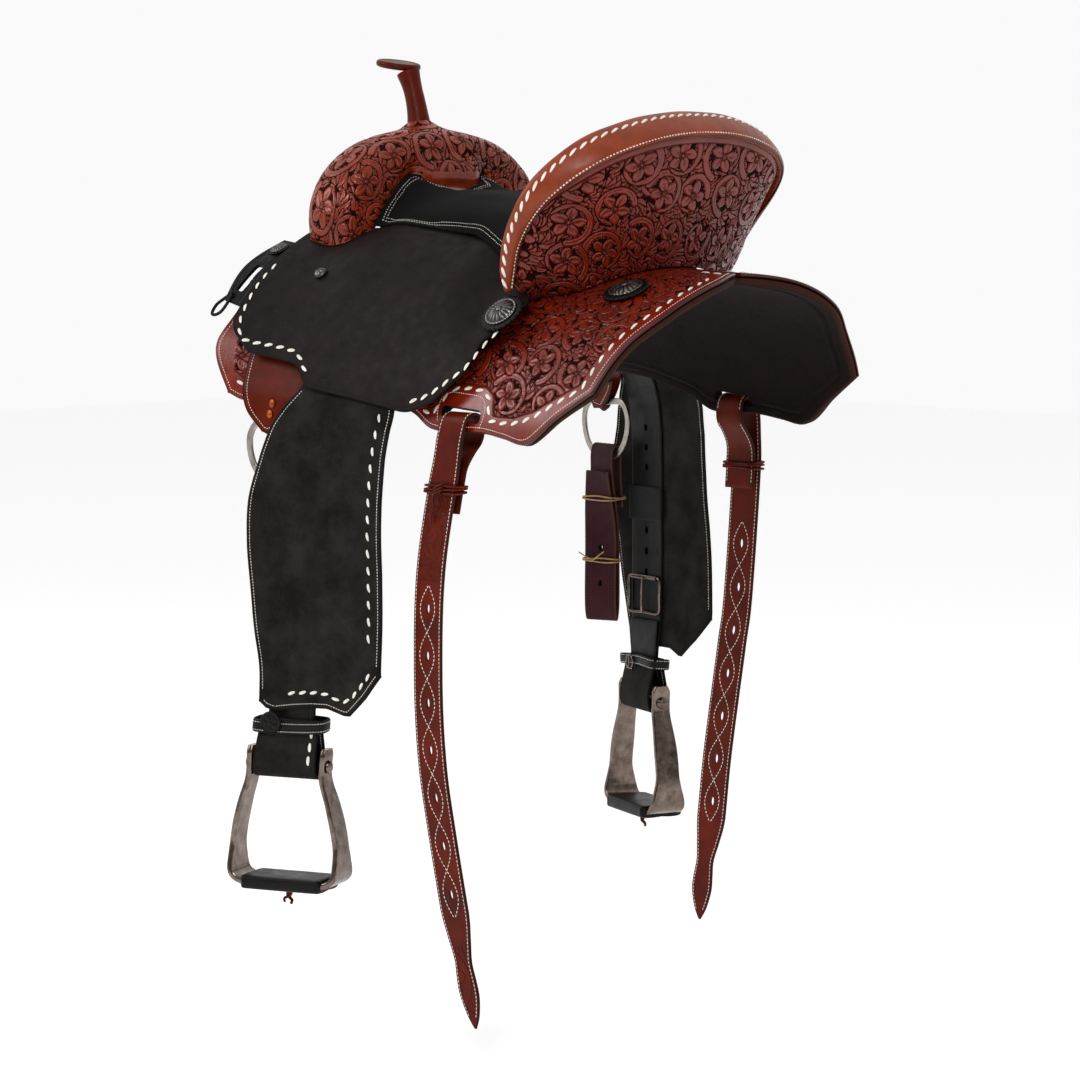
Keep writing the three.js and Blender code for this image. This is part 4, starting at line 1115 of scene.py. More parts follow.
def make_plate(name, side):
    g = coons(PLATE, 110, 96)
    d = distance_to(g, border(PLATE, 2.0))
    x, t = g[..., 0], g[..., 1] / PLANE
    low = plate_low(t)
    crease = bell(d, 0.8, 3.0) * 0.3
    outer = barrel(x, t, low + 3.2 - rounding(d, 1.4) - crease, side)
    inner = barrel(x, t, low + rounding(d, 0.9), side)
    shell(f"rigging_plate_front_{name}", outer, inner, "saddle", "tan", edge=bell(d, 2),
          tone=crease, replaces=[f"rigging_plate_{name}"], slot="leather_tan")
    back = {"top": [[126, 80], [162, 82.6], [190, 85.3]],
            "rear": [[126, 80], [134, 84.4], [152, 90.5]], "bottom": [[152, 90.5], [172, 91.5]],
            "front": [[190, 85.3], [184, 87.6], [172, 91.5]]}
    g = coons(back, 60, 40)
    d = distance_to(g, border(back, 2.0))
    x, t = g[..., 0], g[..., 1] / PLANE
    shell(f"rigging_plate_back_{name}", barrel(x, t, -5.2 + rounding(d, 1.2), side),
          barrel(x, t, -2.0 - rounding(d, 0.6), side), "saddle", "tan", edge=bell(d, 2),
          slot="leather_tan")
    fold = {"top": [[130, 80.8], [182, 84.4]], "rear": [[130, 80.8], [136, 84]],
            "bottom": [[136, 84], [177, 86.0]], "front": [[182, 84.4], [177, 86.0]]}
    g = coons(fold, 24, 6)
    x, t = g[..., 0], g[..., 1] / PLANE
    shell(f"rigging_fold_{name}", barrel(x, t, plate_low(t) + 0.6, side), barrel(x, t, -3.6, side),
          "saddle", "tan", slot="leather_tan")
    fine = Heap()
    sides = outline_sides(PLATE, 200, 200)
    path = np.concatenate([inset(sides["rear"], -7)[14:], inset(sides["bottom"], -7)[20:-20],
                           inset(sides["front"], 7)[::-1][:-14]])
    path = path[distance_to(path, border(PLATE, 2.0)) > 6]
    px, pt = path[:, 0], path[:, 1] / PLANE
    sew(fine, barrel(px, pt, plate_low(pt) + 3.25, side), barrel_normal(px, pt, side), *FINE, 0.5,
        0.42)
    back_path = inset(outline_sides(back, 100, 100)["front"], 6)[:-20]
    back_path = np.concatenate([inset(outline_sides(back, 100, 100)["rear"], -6)[22:],
                                back_path[::-1]])
    px, pt = back_path[:, 0], back_path[:, 1] / PLANE
    sew(fine, barrel(px, pt, -5.25, side), -barrel_normal(px, pt, side), *FINE, 0.5, 0.42)
    fine.build(f"rigging_stitching_{name}", "saddle", "thread")
    for k, (rx, rt) in enumerate(RIVETS):
        rivet = Heap()
        head = float(plate_low(rt)) + 12.2
        profile = [[0.01, 0.2], [2.4, 0.3], [3.7, 1.0], [4.7, 2.1], [4.7, 2.8], [2, 2.9], [2, head],
                   [4.8, head + 0.1], [4.8, head + 0.6], [3.9, head + 1.3], [2.9, head + 1.5],
                   [2.5, head + 2.1], [1.2, head + 2.5], [0.01, head + 2.6]]
        turned(rivet, profile, barrel(rx, rt, -9, side), barrel_normal(rx, rt, side), 28)
        rivet.build(f"rivet_{k + 1}_{name}", "saddle", "copper",
                    replaces=[f"rigging_rivet_{k + 1}_{name}"], slot="copper")


def rigging(side, untwist=0.0):
    def place(a, out, z):
        a, out, z = np.broadcast_arrays(np.asarray(a, float), np.asarray(out, float),
                                        np.asarray(z, float))
        turn = np.radians(9.7 - untwist * smooth((-z - 192) / 100))
        return np.stack([152 + a * np.cos(turn) - out * np.sin(turn),
                         side * (275.3 + a * np.sin(turn) + out * np.cos(turn)), z], axis=-1)
    return place


def make_ring(name, side):
    outline = np.array([[-32, 0], [0, 0], [32, 0], [43, -13], [44, -32], [36, -53], [20, -66],
                        [-20, -66], [-36, -53], [-44, -32], [-43, -13]], float)
    place = rigging(side)
    line = place(outline[:, 0], 0.0, -117 + outline[:, 1])
    line = evenly_round(line, 120)
    out = place(0, 1, 0) - place(0, 0, 0)
    t = tangents(line, True)
    rings = []
    corner = 0.9
    shape = []
    for cx, cy, a0 in ((4 - corner, 1.6 - corner, 0), (-4 + corner, 1.6 - corner, 90),
                       (-4 + corner, -1.6 + corner, 180), (4 - corner, -1.6 + corner, 270)):
        for k in range(5):
            a = math.radians(a0 + 22.5 * k)
            shape.append([cx + corner * math.cos(a), cy + corner * math.sin(a)])
    shape = np.array(shape)
    for p, d in zip(line, t):
        in_plane = np.cross(d, out)
        rings.append(p + shape[:, :1] * in_plane + shape[:, 1:] * out)
    verts, faces = loft(rings, True)
    make(f"rigging_ring_shape_{name}", verts, faces, f"rigging_ring_{name}", "nickel", sharp=0,
         replaces=[f"rigging_ring_{name}"], slot="nickel")


# ---------- cantle ----------
RIM_HALF = [[-246, 0, 225], [-245, 55, 222], [-240, 98, 214], [-230, 138, 201], [-217, 165, 184],
            [-201, 182, 164], [-183, 191, 141], [-164, 190, 115], [-147, 184, 88], [-137, 177, 68],
            [-132, 170, 53]]
RIM = [[x, -y, z] for x, y, z in RIM_HALF[:0:-1]] + RIM_HALF
BASE_HALF = np.array([[-214, 1], [-211, 8], [-202, 16], [-184, 26], [-158, 37]], float)


ROLL_WIDE, ROLL_THIN = 22, 8.5            # half width of the cantle's roll: middle and ends
ROLL_HIGH = 7.0


def rim(v):
    line = even(RIM, (np.asarray(v, float) + 1) / 2)
    line[..., 2] -= 12 * smooth((np.abs(v) - 0.86) / 0.14)
    return line


def rim_frame(v):
    v = np.asarray(v, float)
    t = unit(rim(np.minimum(v + 0.01, 1)) - rim(np.maximum(v - 0.01, -1)))
    out = unit(np.stack([np.zeros(len(v)), -t[:, 2], t[:, 1]], axis=1))
    up = out * 0.8 + np.array([-0.6, 0, 0])
    up = unit(up - t * (up * t).sum(-1, keepdims=True))
    return t, out, up, unit(np.cross(t, up))


def cantle_wall(v, w):
    """The back of the cantle: v from the far end to the near end, w from its foot to the roll."""
    v = np.asarray(v, float)
    foot = even(BASE_HALF * [1, PLANE], np.abs(v), bent=False)
    side = np.where(v < 0, -1.0, 1.0)
    t = np.maximum(foot[:, 1] / PLANE, 0)
    base = barrel(foot[:, 0] + 38 * smooth((np.abs(v) - 0.74) / 0.25), t, 2, 1)
    base[:, 1] *= side
    _, out, _, wide = rim_frame(v)
    low = smooth((np.abs(v) - 0.5) / 0.45)[:, None]
    top = rim(v) + low * [15, 0, 0] - [14, 0, 0] - out * (15 - 9 * low)
    top += wide * np.sign(wide[len(wide) // 2, 0]) * (ROLL_WIDE - roll_half(v))[:, None]
    return base[:, None] + (top - base)[:, None] * np.asarray(w, float)[None, :, None]


def surface_normals(g):
    du = np.gradient(g, axis=0)
    dv = np.gradient(g, axis=1)
    return unit(np.cross(du, dv))


def make_cantle():
    v, w = np.linspace(-0.985, 0.985, 622), np.linspace(0, 1, 142)
    g = cantle_wall(v, w)
    n = surface_normals(g)
    if n[311, 70, 0] > 0:
        n = -n
    across = run_along(g[:, 80])
    up = np.linalg.norm(g[:, 1:] - g[:, :-1], axis=-1)
    up = np.concatenate([np.zeros((len(v), 1)), np.cumsum(up, axis=1)], axis=1)
    crown = np.sin(np.pi * w)[None] * (2.2 + 7 * smooth((np.abs(v) - 0.6) / 0.25) ** 2)[:, None]
    x = np.broadcast_to(across[:, None], up.shape)
    left = np.minimum(x, across[-1] - x)
    inside = np.minimum(np.minimum(up[:, -1:] - up - 6, up + 4), left - 4)
    h, tone = tool(x + 66, up + 11, inside)
    outer = g + n * (crown + h * RELIEF)[..., None]
    inner = g - n * 3.0
    shell("cantle_back_shape", outer, inner, "saddle", "carved", step=3, tone=tone,
          replaces=["cantle_back"], slot="leather_carved", edge=bell(np.minimum(left, 50), 3) * 0.6)


def roll_half(v):
    """Half width of the roll, which narrows towards both ends."""
    return lerp(ROLL_THIN, ROLL_WIDE, smooth((1 - np.abs(v)) / 0.65))


def make_roll():
    v = np.linspace(-1, 1, 321)
    _, _, up, wide = rim_frame(v)
    centre = rim(v)
    end = np.minimum(1, 0.5 + 9 * (1 - np.abs(v)))
    angle = circle(48)
    front = 1 if wide[160, 0] > 0 else -1
    centre = centre + wide * (front * (ROLL_WIDE - roll_half(v)))[:, None]
    a, b = roll_half(v) * end, ROLL_HIGH * (0.55 + 0.45 * end)
    wobble = 1 + 0.015 * np.sin(v * 31)
    cosine, sine = np.cos(angle), np.sin(angle)
    fat = np.sign(sine) * np.abs(sine) ** 0.8
    rings = centre[:, None] + (a * wobble)[:, None, None] * cosine[None, :, None] * wide[:, None]
    rings = rings + b[:, None, None] * fat[None, :, None] * up[:, None]
    pinch = bell(angle, 0.35, np.pi) + bell(angle, 0.3)
    verts, faces = loft(rings)
    edge = np.broadcast_to(0.5 * pinch[None, :], rings.shape[:2]).ravel()
    edge = np.concatenate([edge, [1, 1]])
    make("cantle_roll_shape", verts, faces, "saddle", "roll", sharp=0,
         attributes={"edge": edge}, replaces=["cantle_roll"], slot="leather_tan")
    lace, fine = Heap(), Heap()

    def along(angle_deg, grow, count=500):
        s = np.linspace(-0.99, 0.99, count)
        _, _, u, wd = rim_frame(s)
        e = np.minimum(1, 0.5 + 9 * (1 - np.abs(s)))
        c, d = math.cos(math.radians(angle_deg)), math.sin(math.radians(angle_deg))
        half = roll_half(s)
        shift = front * (ROLL_WIDE - half + c * (half * e + grow))
        p = rim(s) + wd * shift[:, None] + u * (d * (ROLL_HIGH + grow))
        n = unit(wd * (front * c / ROLL_WIDE) + u * (d / ROLL_HIGH))
        return p, n
    p, n = along(66, 0.4)
    rope_sew(lace, p, n, 11.5, 14.0, 1.9, 1.1, skew=1.8)
    lace.build("cantle_lacing", "saddle", "lace")
    p, n = along(150, 0.2)
    sew(fine, p, n, 3.4, 4.4, 0.95, 0.7)
    p, n = along(176, 0.6)
    cord, faces = tube(p, 1.0, 8)
    fine.build("cantle_stitching", "saddle", "thread")
    make("cantle_welt", cord, faces, "saddle", "roll", attributes={"edge": np.full(len(cord), 0.9)},
         sharp=0)


# ---------- seat ----------
def seat_rear(v):
    v = np.atleast_1d(np.asarray(v, float))
    return (rim(v) + [16, 0, 0] + rim_frame(v)[1] * -13)


SEAT_LINES = [
    ([[148, 132, 110], [112, 131, 99], [45, 130, 96], [-20, 131, 91], [-62, 138, 80]],
     [0.95, 0.87, 0.78]),
    ([[156, 98, 145], [108, 104, 128], [42, 108, 126], [-28, 114, 124], [-84, 122, 130],
      [-128, 132, 150], [-164, 138, 172]], [0.5]),
    ([[163, 55, 170], [104, 60, 146], [40, 66, 143], [-30, 72, 139], [-95, 76, 143],
      [-150, 78, 164], [-192, 76, 194]], [0.27]),
    ([[155, 0, 149], [100, 0, 147], [40, 0, 143], [-30, 0, 138], [-95, 0, 142], [-150, 0, 163],
      [-200, 0, 198]], [0]),
]


def seat_curves():
    curves = []
    near, far = [(one, 1) for one in SEAT_LINES], [(one, -1) for one in SEAT_LINES[2::-1]]
    for (line, rear), side in near + far:
        points = [[x, side * y, z] for x, y, z in line]
        points += [list(seat_rear(side * v)[0]) for v in rear]
        curves.append(points)
    return curves


FORK_X, FORK_DEPTH, FORK_RADIAL = 193, 40, 25
FORK_HALF = [[0, 197], [45, 194], [92, 182], [127, 158], [144, 131], [146, 104], [138, 78],
             [126, 60]]
FORK = [[-y, z] for y, z in FORK_HALF[:0:-1]] + FORK_HALF
FORK_LINE = evenly(FORK, 600)
FORK_INNER = 52
FORK_REAR = np.array([[0, 51], [0.17, 51], [0.21, 47], [0.245, 30], [0.29, 30], [0.5, 38.5],
                      [0.74, 43.5], [0.82, 43], [0.95, 34], [1, 33]])


def fork_section(s, c, d):
    """The swell's section, fore and inwards, for shares s of its arch and directions c, d."""
    s = np.asarray(s, float)[:, None]
    share = np.abs(2 * s - 1)
    inner = FORK_RADIAL + (FORK_INNER - FORK_RADIAL) * smooth((0.9 - share) / 0.24)
    power = np.where(d > 0.01, 4.0, 2.4)
    size = (np.abs(c) ** power + np.abs(d) ** power) ** (-1 / power)
    front = FORK_DEPTH - 7 * share**3
    rear = np.interp(share[:, 0], FORK_REAR[:, 0], FORK_REAR[:, 1])[:, None]
    depth = np.where((c < 0) & (d > 0), lerp(front, rear, smooth(1.6 * d)), front)
    return c * size * depth, d * size * np.where(d > 0, inner, FORK_RADIAL)


def fork_place(points):
    """For points near the swell: share along its arch, distance from it and the way out."""
    flat = points.reshape(-1, 3)
    best, share = np.full(len(flat), 1e9), np.zeros(len(flat))
    near = np.zeros((len(flat), 2))
    for k in range(0, 600, 3):
        d = np.hypot(flat[:, 1] - FORK_LINE[k, 0], flat[:, 2] - FORK_LINE[k, 1])
        closer = d < best
        best = np.where(closer, d, best)
        share = np.where(closer, k / 599, share)
        near[closer] = FORK_LINE[k]
    shape = points.shape[:-1]
    way = np.stack([np.zeros(len(flat)), flat[:, 1] - near[:, 0], flat[:, 2] - near[:, 1]], axis=1)
    return share.reshape(shape), best.reshape(shape), unit(way).reshape(points.shape)


def off_swell(points, grow):
    """Pushes points out of the swell, grown by a distance; r counts positive inwards."""
    s, r, way = fork_place(points)
    r = np.where(way[..., 2] * 1.0 < 0, r, -r)
    share = np.abs(2 * s - 1)
    dx = points[..., 0] - FORK_X
    inner = FORK_RADIAL + (FORK_INNER - FORK_RADIAL) * smooth((0.9 - share) / 0.24)
    rear = np.interp(share, FORK_REAR[:, 0], FORK_REAR[:, 1])
    reach = np.where(r > 0, rear * np.maximum(1 - np.minimum(r / inner, 1) ** 4, 0) ** 0.25,
                     FORK_DEPTH * np.sqrt(np.maximum(1 - np.minimum(-r / FORK_RADIAL, 1) ** 2, 0)))
    near = (r > -FORK_RADIAL) & (r < inner) & (dx > -70) & (dx < 0)
    moved = points.copy()
    moved[..., 0] = np.where(near, np.minimum(points[..., 0], FORK_X - reach - grow),
                             points[..., 0])
    return moved


def off_jockey(points, clear):
    """Lifts points off the seat jockeys' tops."""
    moved = points.copy()
    for side in (1, -1):
        x, t, h = barrel_place(moved, side)
        need = jockey_top(x, t) + clear
        low = (h < need) & (moved[..., 1] * side > 40) & (t > 20) & (x > -150)
        lifted = barrel(x, t, need, side)
        moved[low] = lifted[low]
    return moved


SEAT_FRONT = [[0, 0.002], [0.16, 0.006], [0.3, 0.0], [0.335, 0.0], [0.352, 0.012], [0.37, 0.05],
              [0.43, 0.046], [0.5, 0.038], [0.57, 0.046], [0.63, 0.05], [0.648, 0.012],
              [0.665, 0.0], [0.7, 0.0], [0.84, 0.006], [1, 0.002]]
SEAT_SIDE = [[0, 0.0], [0.09, 0.017], [0.225, 0.033], [0.34, 0.042], [0.41, 0.04], [0.49, 0.012],
             [0.56, 0.0], [1, 0.0]]


def seat_grid(nu, nw):
    """The seat's grid: rows from its front to the cantle, places from near to far edge."""
    table = np.array(SEAT_SIDE)
    front = np.array(SEAT_FRONT)
    k = np.linspace(0, 1, nw + 1)
    u0 = np.linspace(0, 1, nu + 1)
    u = np.empty((nu + 1, nw + 1))
    w = np.empty_like(u)
    start = np.interp(k, front[:, 0], front[:, 1])
    scallop = 0.0045 * np.abs(np.sin(k * np.pi * 46))
    for i, s in enumerate(u0):
        edge = np.interp(s, table[:, 0], table[:, 1])
        edge += 0.0035 * abs(math.sin(s * math.pi * 42)) if s < 0.62 else 0
        w[i] = edge + k * (1 - 2 * edge)
        u[i] = start + scallop + (1 - start - scallop) * s
    curves = seat_curves()
    lines = np.stack([curve_at(c, u.ravel()).reshape(nu + 1, nw + 1, 3) for c in curves])
    rows = np.empty((nu + 1, nw + 1, 3))
    for i in range(nu + 1):
        rows[i] = curve_across(lines[:, i], w[i])
    return rows


def curve_across(lines, w):
    """A centripetal spline across lines of points, each place with its own seven points."""
    n = lines.shape[0]
    f = np.clip(w, 0, 1) * (n - 1)
    i = np.minimum(f.astype(int), n - 2)
    t = (f - i)[:, None]
    q = np.concatenate([2 * lines[:1] - lines[1:2], lines, 2 * lines[-1:] - lines[-2:-1]])
    j = np.arange(len(w))
    p0, p1, p2, p3 = (q[i + k, j] for k in range(4))
    return spline(p0, p1, p2, p3, t)


def run_lengths(g, axis):
    step = np.linalg.norm(np.diff(g, axis=axis), axis=-1)
    pad = np.zeros_like(np.take(step, [0], axis=axis))
    return np.concatenate([pad, np.cumsum(step, axis=axis)], axis=axis)


def make_seat():
    nu, nw = 190, 250
    s = seat_grid(nu, nw)
    n = surface_normals(s)
    if n[nu // 2, nw // 2, 2] < 0:
        n = -n
    fore, across = run_lengths(s, 0), run_lengths(s, 1)
    d_front = fore
    d_side = np.minimum(across, across[:, -1:] - across)
    d = np.minimum(d_front, d_side)
    pad = padding(s, n, d)
    seam = sum(bell(d, 1.1, k) for k in SEAM_AT) * 0.7
    outer = s + n * (pad - seam - rounding(np.minimum(d, d_front), 1.5))[..., None]
    outer = off_swell(off_jockey(outer, 3.0), 3.4)
    thick = 2.6 + 3.6 * smooth(d / 16)
    inner = s - n * (thick - 0.6)[..., None]
    inner = off_swell(off_jockey(inner, 0.5), 0.7)
    edge = bell(d, 2.0)
    obj = shell("seat_cover_shape", outer, inner, "saddle", "suede", edge=edge,
                replaces=["seat_cover"], slot="suede")
    fine = Heap()
    n2 = surface_normals(outer)
    if n2[nu // 2, nw // 2, 2] < 0:
        n2 = -n2
    for k in SEAM_AT:
        for way in (0, 1):
            line, normals = side_line(outer, n2, fore, d_side, k, way, nu, nw)
            sew(fine, line, normals, 2.6, 4.0, 0.5, 0.45)
        line, normals = front_line(outer, n2, fore, d_side, k, nw)
        sew(fine, line, normals, 2.6, 4.0, 0.5, 0.45)
    fine.build("seat_stitching", "saddle", "thread")


def side_line(g, n, fore, d_side, k, way, nu, nw):
    line, normals = [], []
    for i in range(nu + 1):
        if fore[i, 0 if way == 0 else nw] < k or i > nu * 0.7:
            continue
        row = d_side[i, :nw // 2] if way == 0 else d_side[i, ::-1][:nw // 2]
        j = int(np.searchsorted(row, k))
        j = j if way == 0 else nw - j
        line.append(g[i, j])
        normals.append(n[i, j])
    line, normals = np.array(line), np.array(normals)
    return relax(line), normals


def front_line(g, n, fore, d_side, k, nw):
    line, normals = [], []
    for j in range(nw + 1):
        if d_side[0, j] < k:
            continue
        i = int(np.searchsorted(fore[:, j], k))
        line.append(g[i, j])
        normals.append(n[i, j])
    return relax(np.array(line)), np.array(normals)


def relax(line, times=3):
    line = line.copy()
    for _ in range(times):
        line[1:-1] = 0.25 * line[:-2] + 0.5 * line[1:-1] + 0.25 * line[2:]
    return line


SEWN_EDGE, SEAM_AT = 13, (9, 14)          # the seat is sewn flat to here; its two rows of stitches
SEAT_CROWN = 4.0                          # the most that the stuffing may stand proud
STUFFING_PRESSURE, STUFFING_FRAMES = 4, 20


def swollen(s, n, sewn):
    """How far each place of a stuffed sheet swells by cloth simulation, in mm, held where sewn."""
    rows, places = s.shape[:2]
    faces = [(i * places + j, (i + 1) * places + j, (i + 1) * places + j + 1, i * places + j + 1)
             for i in range(rows - 1) for j in range(places - 1)]
    mesh = bpy.data.meshes.new("stuffing")
    mesh.from_pydata([tuple(p) for p in s.reshape(-1, 3) * MM], [], faces)
    obj = bpy.data.objects.new("stuffing", mesh)
    bpy.context.scene.collection.objects.link(obj)
    held = obj.vertex_groups.new(name="sewn")
    held.add([int(k) for k in np.nonzero(sewn.ravel())[0]], 1.0, "REPLACE")
    cloth = obj.modifiers.new("stuffing", "CLOTH")
    cloth.settings.vertex_group_mass = "sewn"
    cloth.settings.use_pressure = True
    outwards = np.sign(n[rows // 2, places // 2] @ face_way(s))
    cloth.settings.uniform_pressure_force = STUFFING_PRESSURE * outwards
    cloth.settings.quality = 6
    cloth.settings.mass = 0.3
    cloth.settings.tension_stiffness = cloth.settings.compression_stiffness = 8
    cloth.settings.effector_weights.gravity = 0
    for frame_number in range(1, STUFFING_FRAMES + 1):
        bpy.context.scene.frame_set(frame_number)
    posed = obj.evaluated_get(bpy.context.evaluated_depsgraph_get())
    moved = np.array([v.co[:] for v in posed.data.vertices]).reshape(s.shape) / MM
    bpy.context.scene.frame_set(1)
    bpy.data.objects.remove(obj)
    return ((moved - s) * n).sum(-1)


def face_way(s):
    """Which way a grid's faces look at its middle."""
    i, j = s.shape[0] // 2, s.shape[1] // 2
    return np.cross(s[i + 1, j] - s[i, j], s[i, j + 1] - s[i, j])


def padding(s, n, d):
    """How far the stuffed seat stands proud of the frame's seat, in mm."""
    step = 5
    puff = swollen(s[::step, ::step], n[::step, ::step], (d < SEWN_EDGE)[::step, ::step])
    puff = SEAT_CROWN * np.tanh(np.maximum(puff, 0) / SEAT_CROWN)
    i, j = np.arange(s.shape[0]) / step, np.arange(s.shape[1]) / step
    rows = np.stack([np.interp(i, np.arange(len(column)), column) for column in puff.T], axis=1)
    full = np.stack([np.interp(j, np.arange(len(row)), row) for row in rows])
    return full * smooth((d - SEWN_EDGE) / 8)


# ---------- swell and horn ----------
HORN_PATH = [[203, 0, 205], [204, 0, 226], [208, 0, 248], [214, 0, 268], [223, 0, 291]]
CAP_CENTRE = np.array([240.0, 0, 296])
CAP_AXIS = unit(np.array([-0.17, 0, 0.985]))


def make_swell():
    ns, na = 600, 260
    s = np.linspace(0, 1, ns + 1)
    line = even(FORK, s)
    t = tangents(line)
    radial = np.stack([np.zeros(ns + 1), t[:, 1], -t[:, 0]], axis=1)
    angle = circle(na)
    c, d = np.cos(angle), np.sin(angle)
    fore, down = fork_section(s, c[None], d[None])
    total = line_length(line)
    rings = np.zeros((ns + 1, na, 3))
    rings[..., 0] = FORK_X + fore
    rings[..., 1] = line[:, 0][:, None] + down * radial[:, 1][:, None]
    rings[..., 2] = line[:, 1][:, None] + down * radial[:, 2][:, None]
    perimeter = run_lengths(np.concatenate([rings[ns // 2], rings[ns // 2][:1]])[None], 1)[0]
    around = perimeter[:-1]
    out_point = perimeter[na * 3 // 4]
    y_sheet = np.broadcast_to((around - out_point)[None], (ns + 1, na))
    x_sheet = np.broadcast_to((s * total)[:, None], (ns + 1, na))
    patch = (np.abs(rings[..., 1]) < 47) & (rings[..., 2] < 171) & (rings[..., 0] < 175)
    inside = np.where(patch, -4.0, 12.0)
    under = ((d > 0.55) & (c > -0.3))[None] & np.ones((ns + 1, 1), bool)
    inside = np.where(under, -4.0, inside)
    h, tone = tool(x_sheet + 33, y_sheet + 190, inside)
    n = np.cross(np.roll(rings, -1, 1) - np.roll(rings, 1, 1), np.gradient(rings, axis=0))
    n = unit(n)
    middle = np.stack([np.full(ns + 1, FORK_X), line[:, 0], line[:, 1]], axis=1)[:, None]
    n *= np.sign(((rings - middle) * n).sum(-1, keepdims=True))
    r = np.hypot(rings[..., 0] - 203, rings[..., 1])
    flare = 15 * bell(r, 21.0) * np.clip((rings[..., 2] - 190) / 18, 0, 1)
    rings = rings + n * (h * SWELL_RELIEF)[..., None]
    rings[..., 2] += flare
    for side in (1, -1):
        x, tt, hh = barrel_place(rings, side)
        need = jockey_top(x, tt) + 0.4 + 0.8 * (d < 0)[None]
        low = (hh < need) & (rings[..., 1] * side > 0) & (tt > 18)
        rings[low] = barrel(x, tt, need, side)[low]
    verts, faces = loft(rings)
    tone = np.concatenate([tone.ravel(), [0.5, 0.5]])
    make("swell_shape", verts, faces, "saddle", "carved_swell", sharp=0, replaces=["swell_cover"],
         attributes={"tone": tone, "edge": np.zeros(len(tone))}, slot="leather_carved")


def make_horn():
    radii = [19.5, 16.8, 14.4, 13, 12.1, 11.7, 11.5, 12.4, 14.4]
    steps, sides = 90, 64
    f = np.linspace(0, 1, steps + 1)
    path = curve_at(HORN_PATH, f * 0.985)
    radius = np.interp(f * 0.985, np.linspace(0, 1, 9), radii)
    radius = np.convolve(np.pad(radius, 4, "edge"), np.ones(9) / 9, "valid")
    t = tangents(path)
    u = np.array([0.0, 1, 0])
    angle = circle(sides)
    seam_at = 1.05 * np.pi + 0.25 * np.sin(f * 3)
    rings, edges = [], []
    for k in range(steps + 1):
        v = np.cross(t[k], u)
        gap = np.angle(np.exp(1j * (angle - seam_at[k])))
        lap = 0.9 * smooth((gap + 0.02) / 0.12) * smooth((1.6 - gap) / 1.5)
        crease = 0.8 * bell(gap, 0.07)
        r = radius[k] + lap - crease - 0.25 * bell(gap, 0.05, 0.22)
        way = np.cos(angle)[:, None] * u + np.sin(angle)[:, None] * v
        rings.append(path[k] + r[:, None] * way)
        edges.append(bell(gap, 0.12))
    verts, faces = loft(rings)
    edge = np.concatenate([np.array(edges).ravel(), [0, 0]])
    make("horn_cover_shape", verts, faces, "saddle", "tan", sharp=0, replaces=["horn_cover"],
         attributes={"edge": edge}, slot="leather_tan")
    fine = Heap()
    at = np.linspace(0.08, 0.86, 120)
    line, normals = [], []
    for s in at:
        k = int(s * steps)
        a = seam_at[k] + 0.22
        v = np.cross(t[k], u)
        n = math.cos(a) * u + math.sin(a) * v
        line.append(path[k] + n * (radius[k] + 0.9))
        normals.append(n)
    sew(fine, relax(np.array(line), 8), np.array(normals), 2.4, 3.6, 0.45, 0.4)
    cap = Heap()
    under = CAP_CENTRE - CAP_AXIS
    profile = [[0.01, 0.2], [14, 0.1], [21, 0.0], [24.2, 0.3], [26.2, 1.3], [27, 3.0], [27, 5.4],
               [26.3, 7.0], [25, 8.0], [23.6, 8.4], [22.6, 7.9], [21.8, 7.6], [14, 8.2], [6, 8.6],
               [0.01, 8.7]]
    turned(cap, profile, under, CAP_AXIS, 72, tone=lambda r, h, a: ((r > 24) & (h < 7.9)) * 0.9)
    cap.build("horn_cap_shape", "saddle", "tan", replaces=["horn_cap"], slot="leather_carved")
    u2 = unit(np.cross(CAP_AXIS, (0, 1, 0)))
    v2 = np.cross(CAP_AXIS, u2)
    a = np.linspace(0, 2 * np.pi, 160)
    ring = under + CAP_AXIS * 8.1 + 21.5 * (np.cos(a)[:, None] * u2 + np.sin(a)[:, None] * v2)
    sew(fine, ring, np.broadcast_to(CAP_AXIS, ring.shape), 2.2, 3.4, 0.42, 0.35)
    fine.build("horn_stitching", "saddle", "tan_thread")


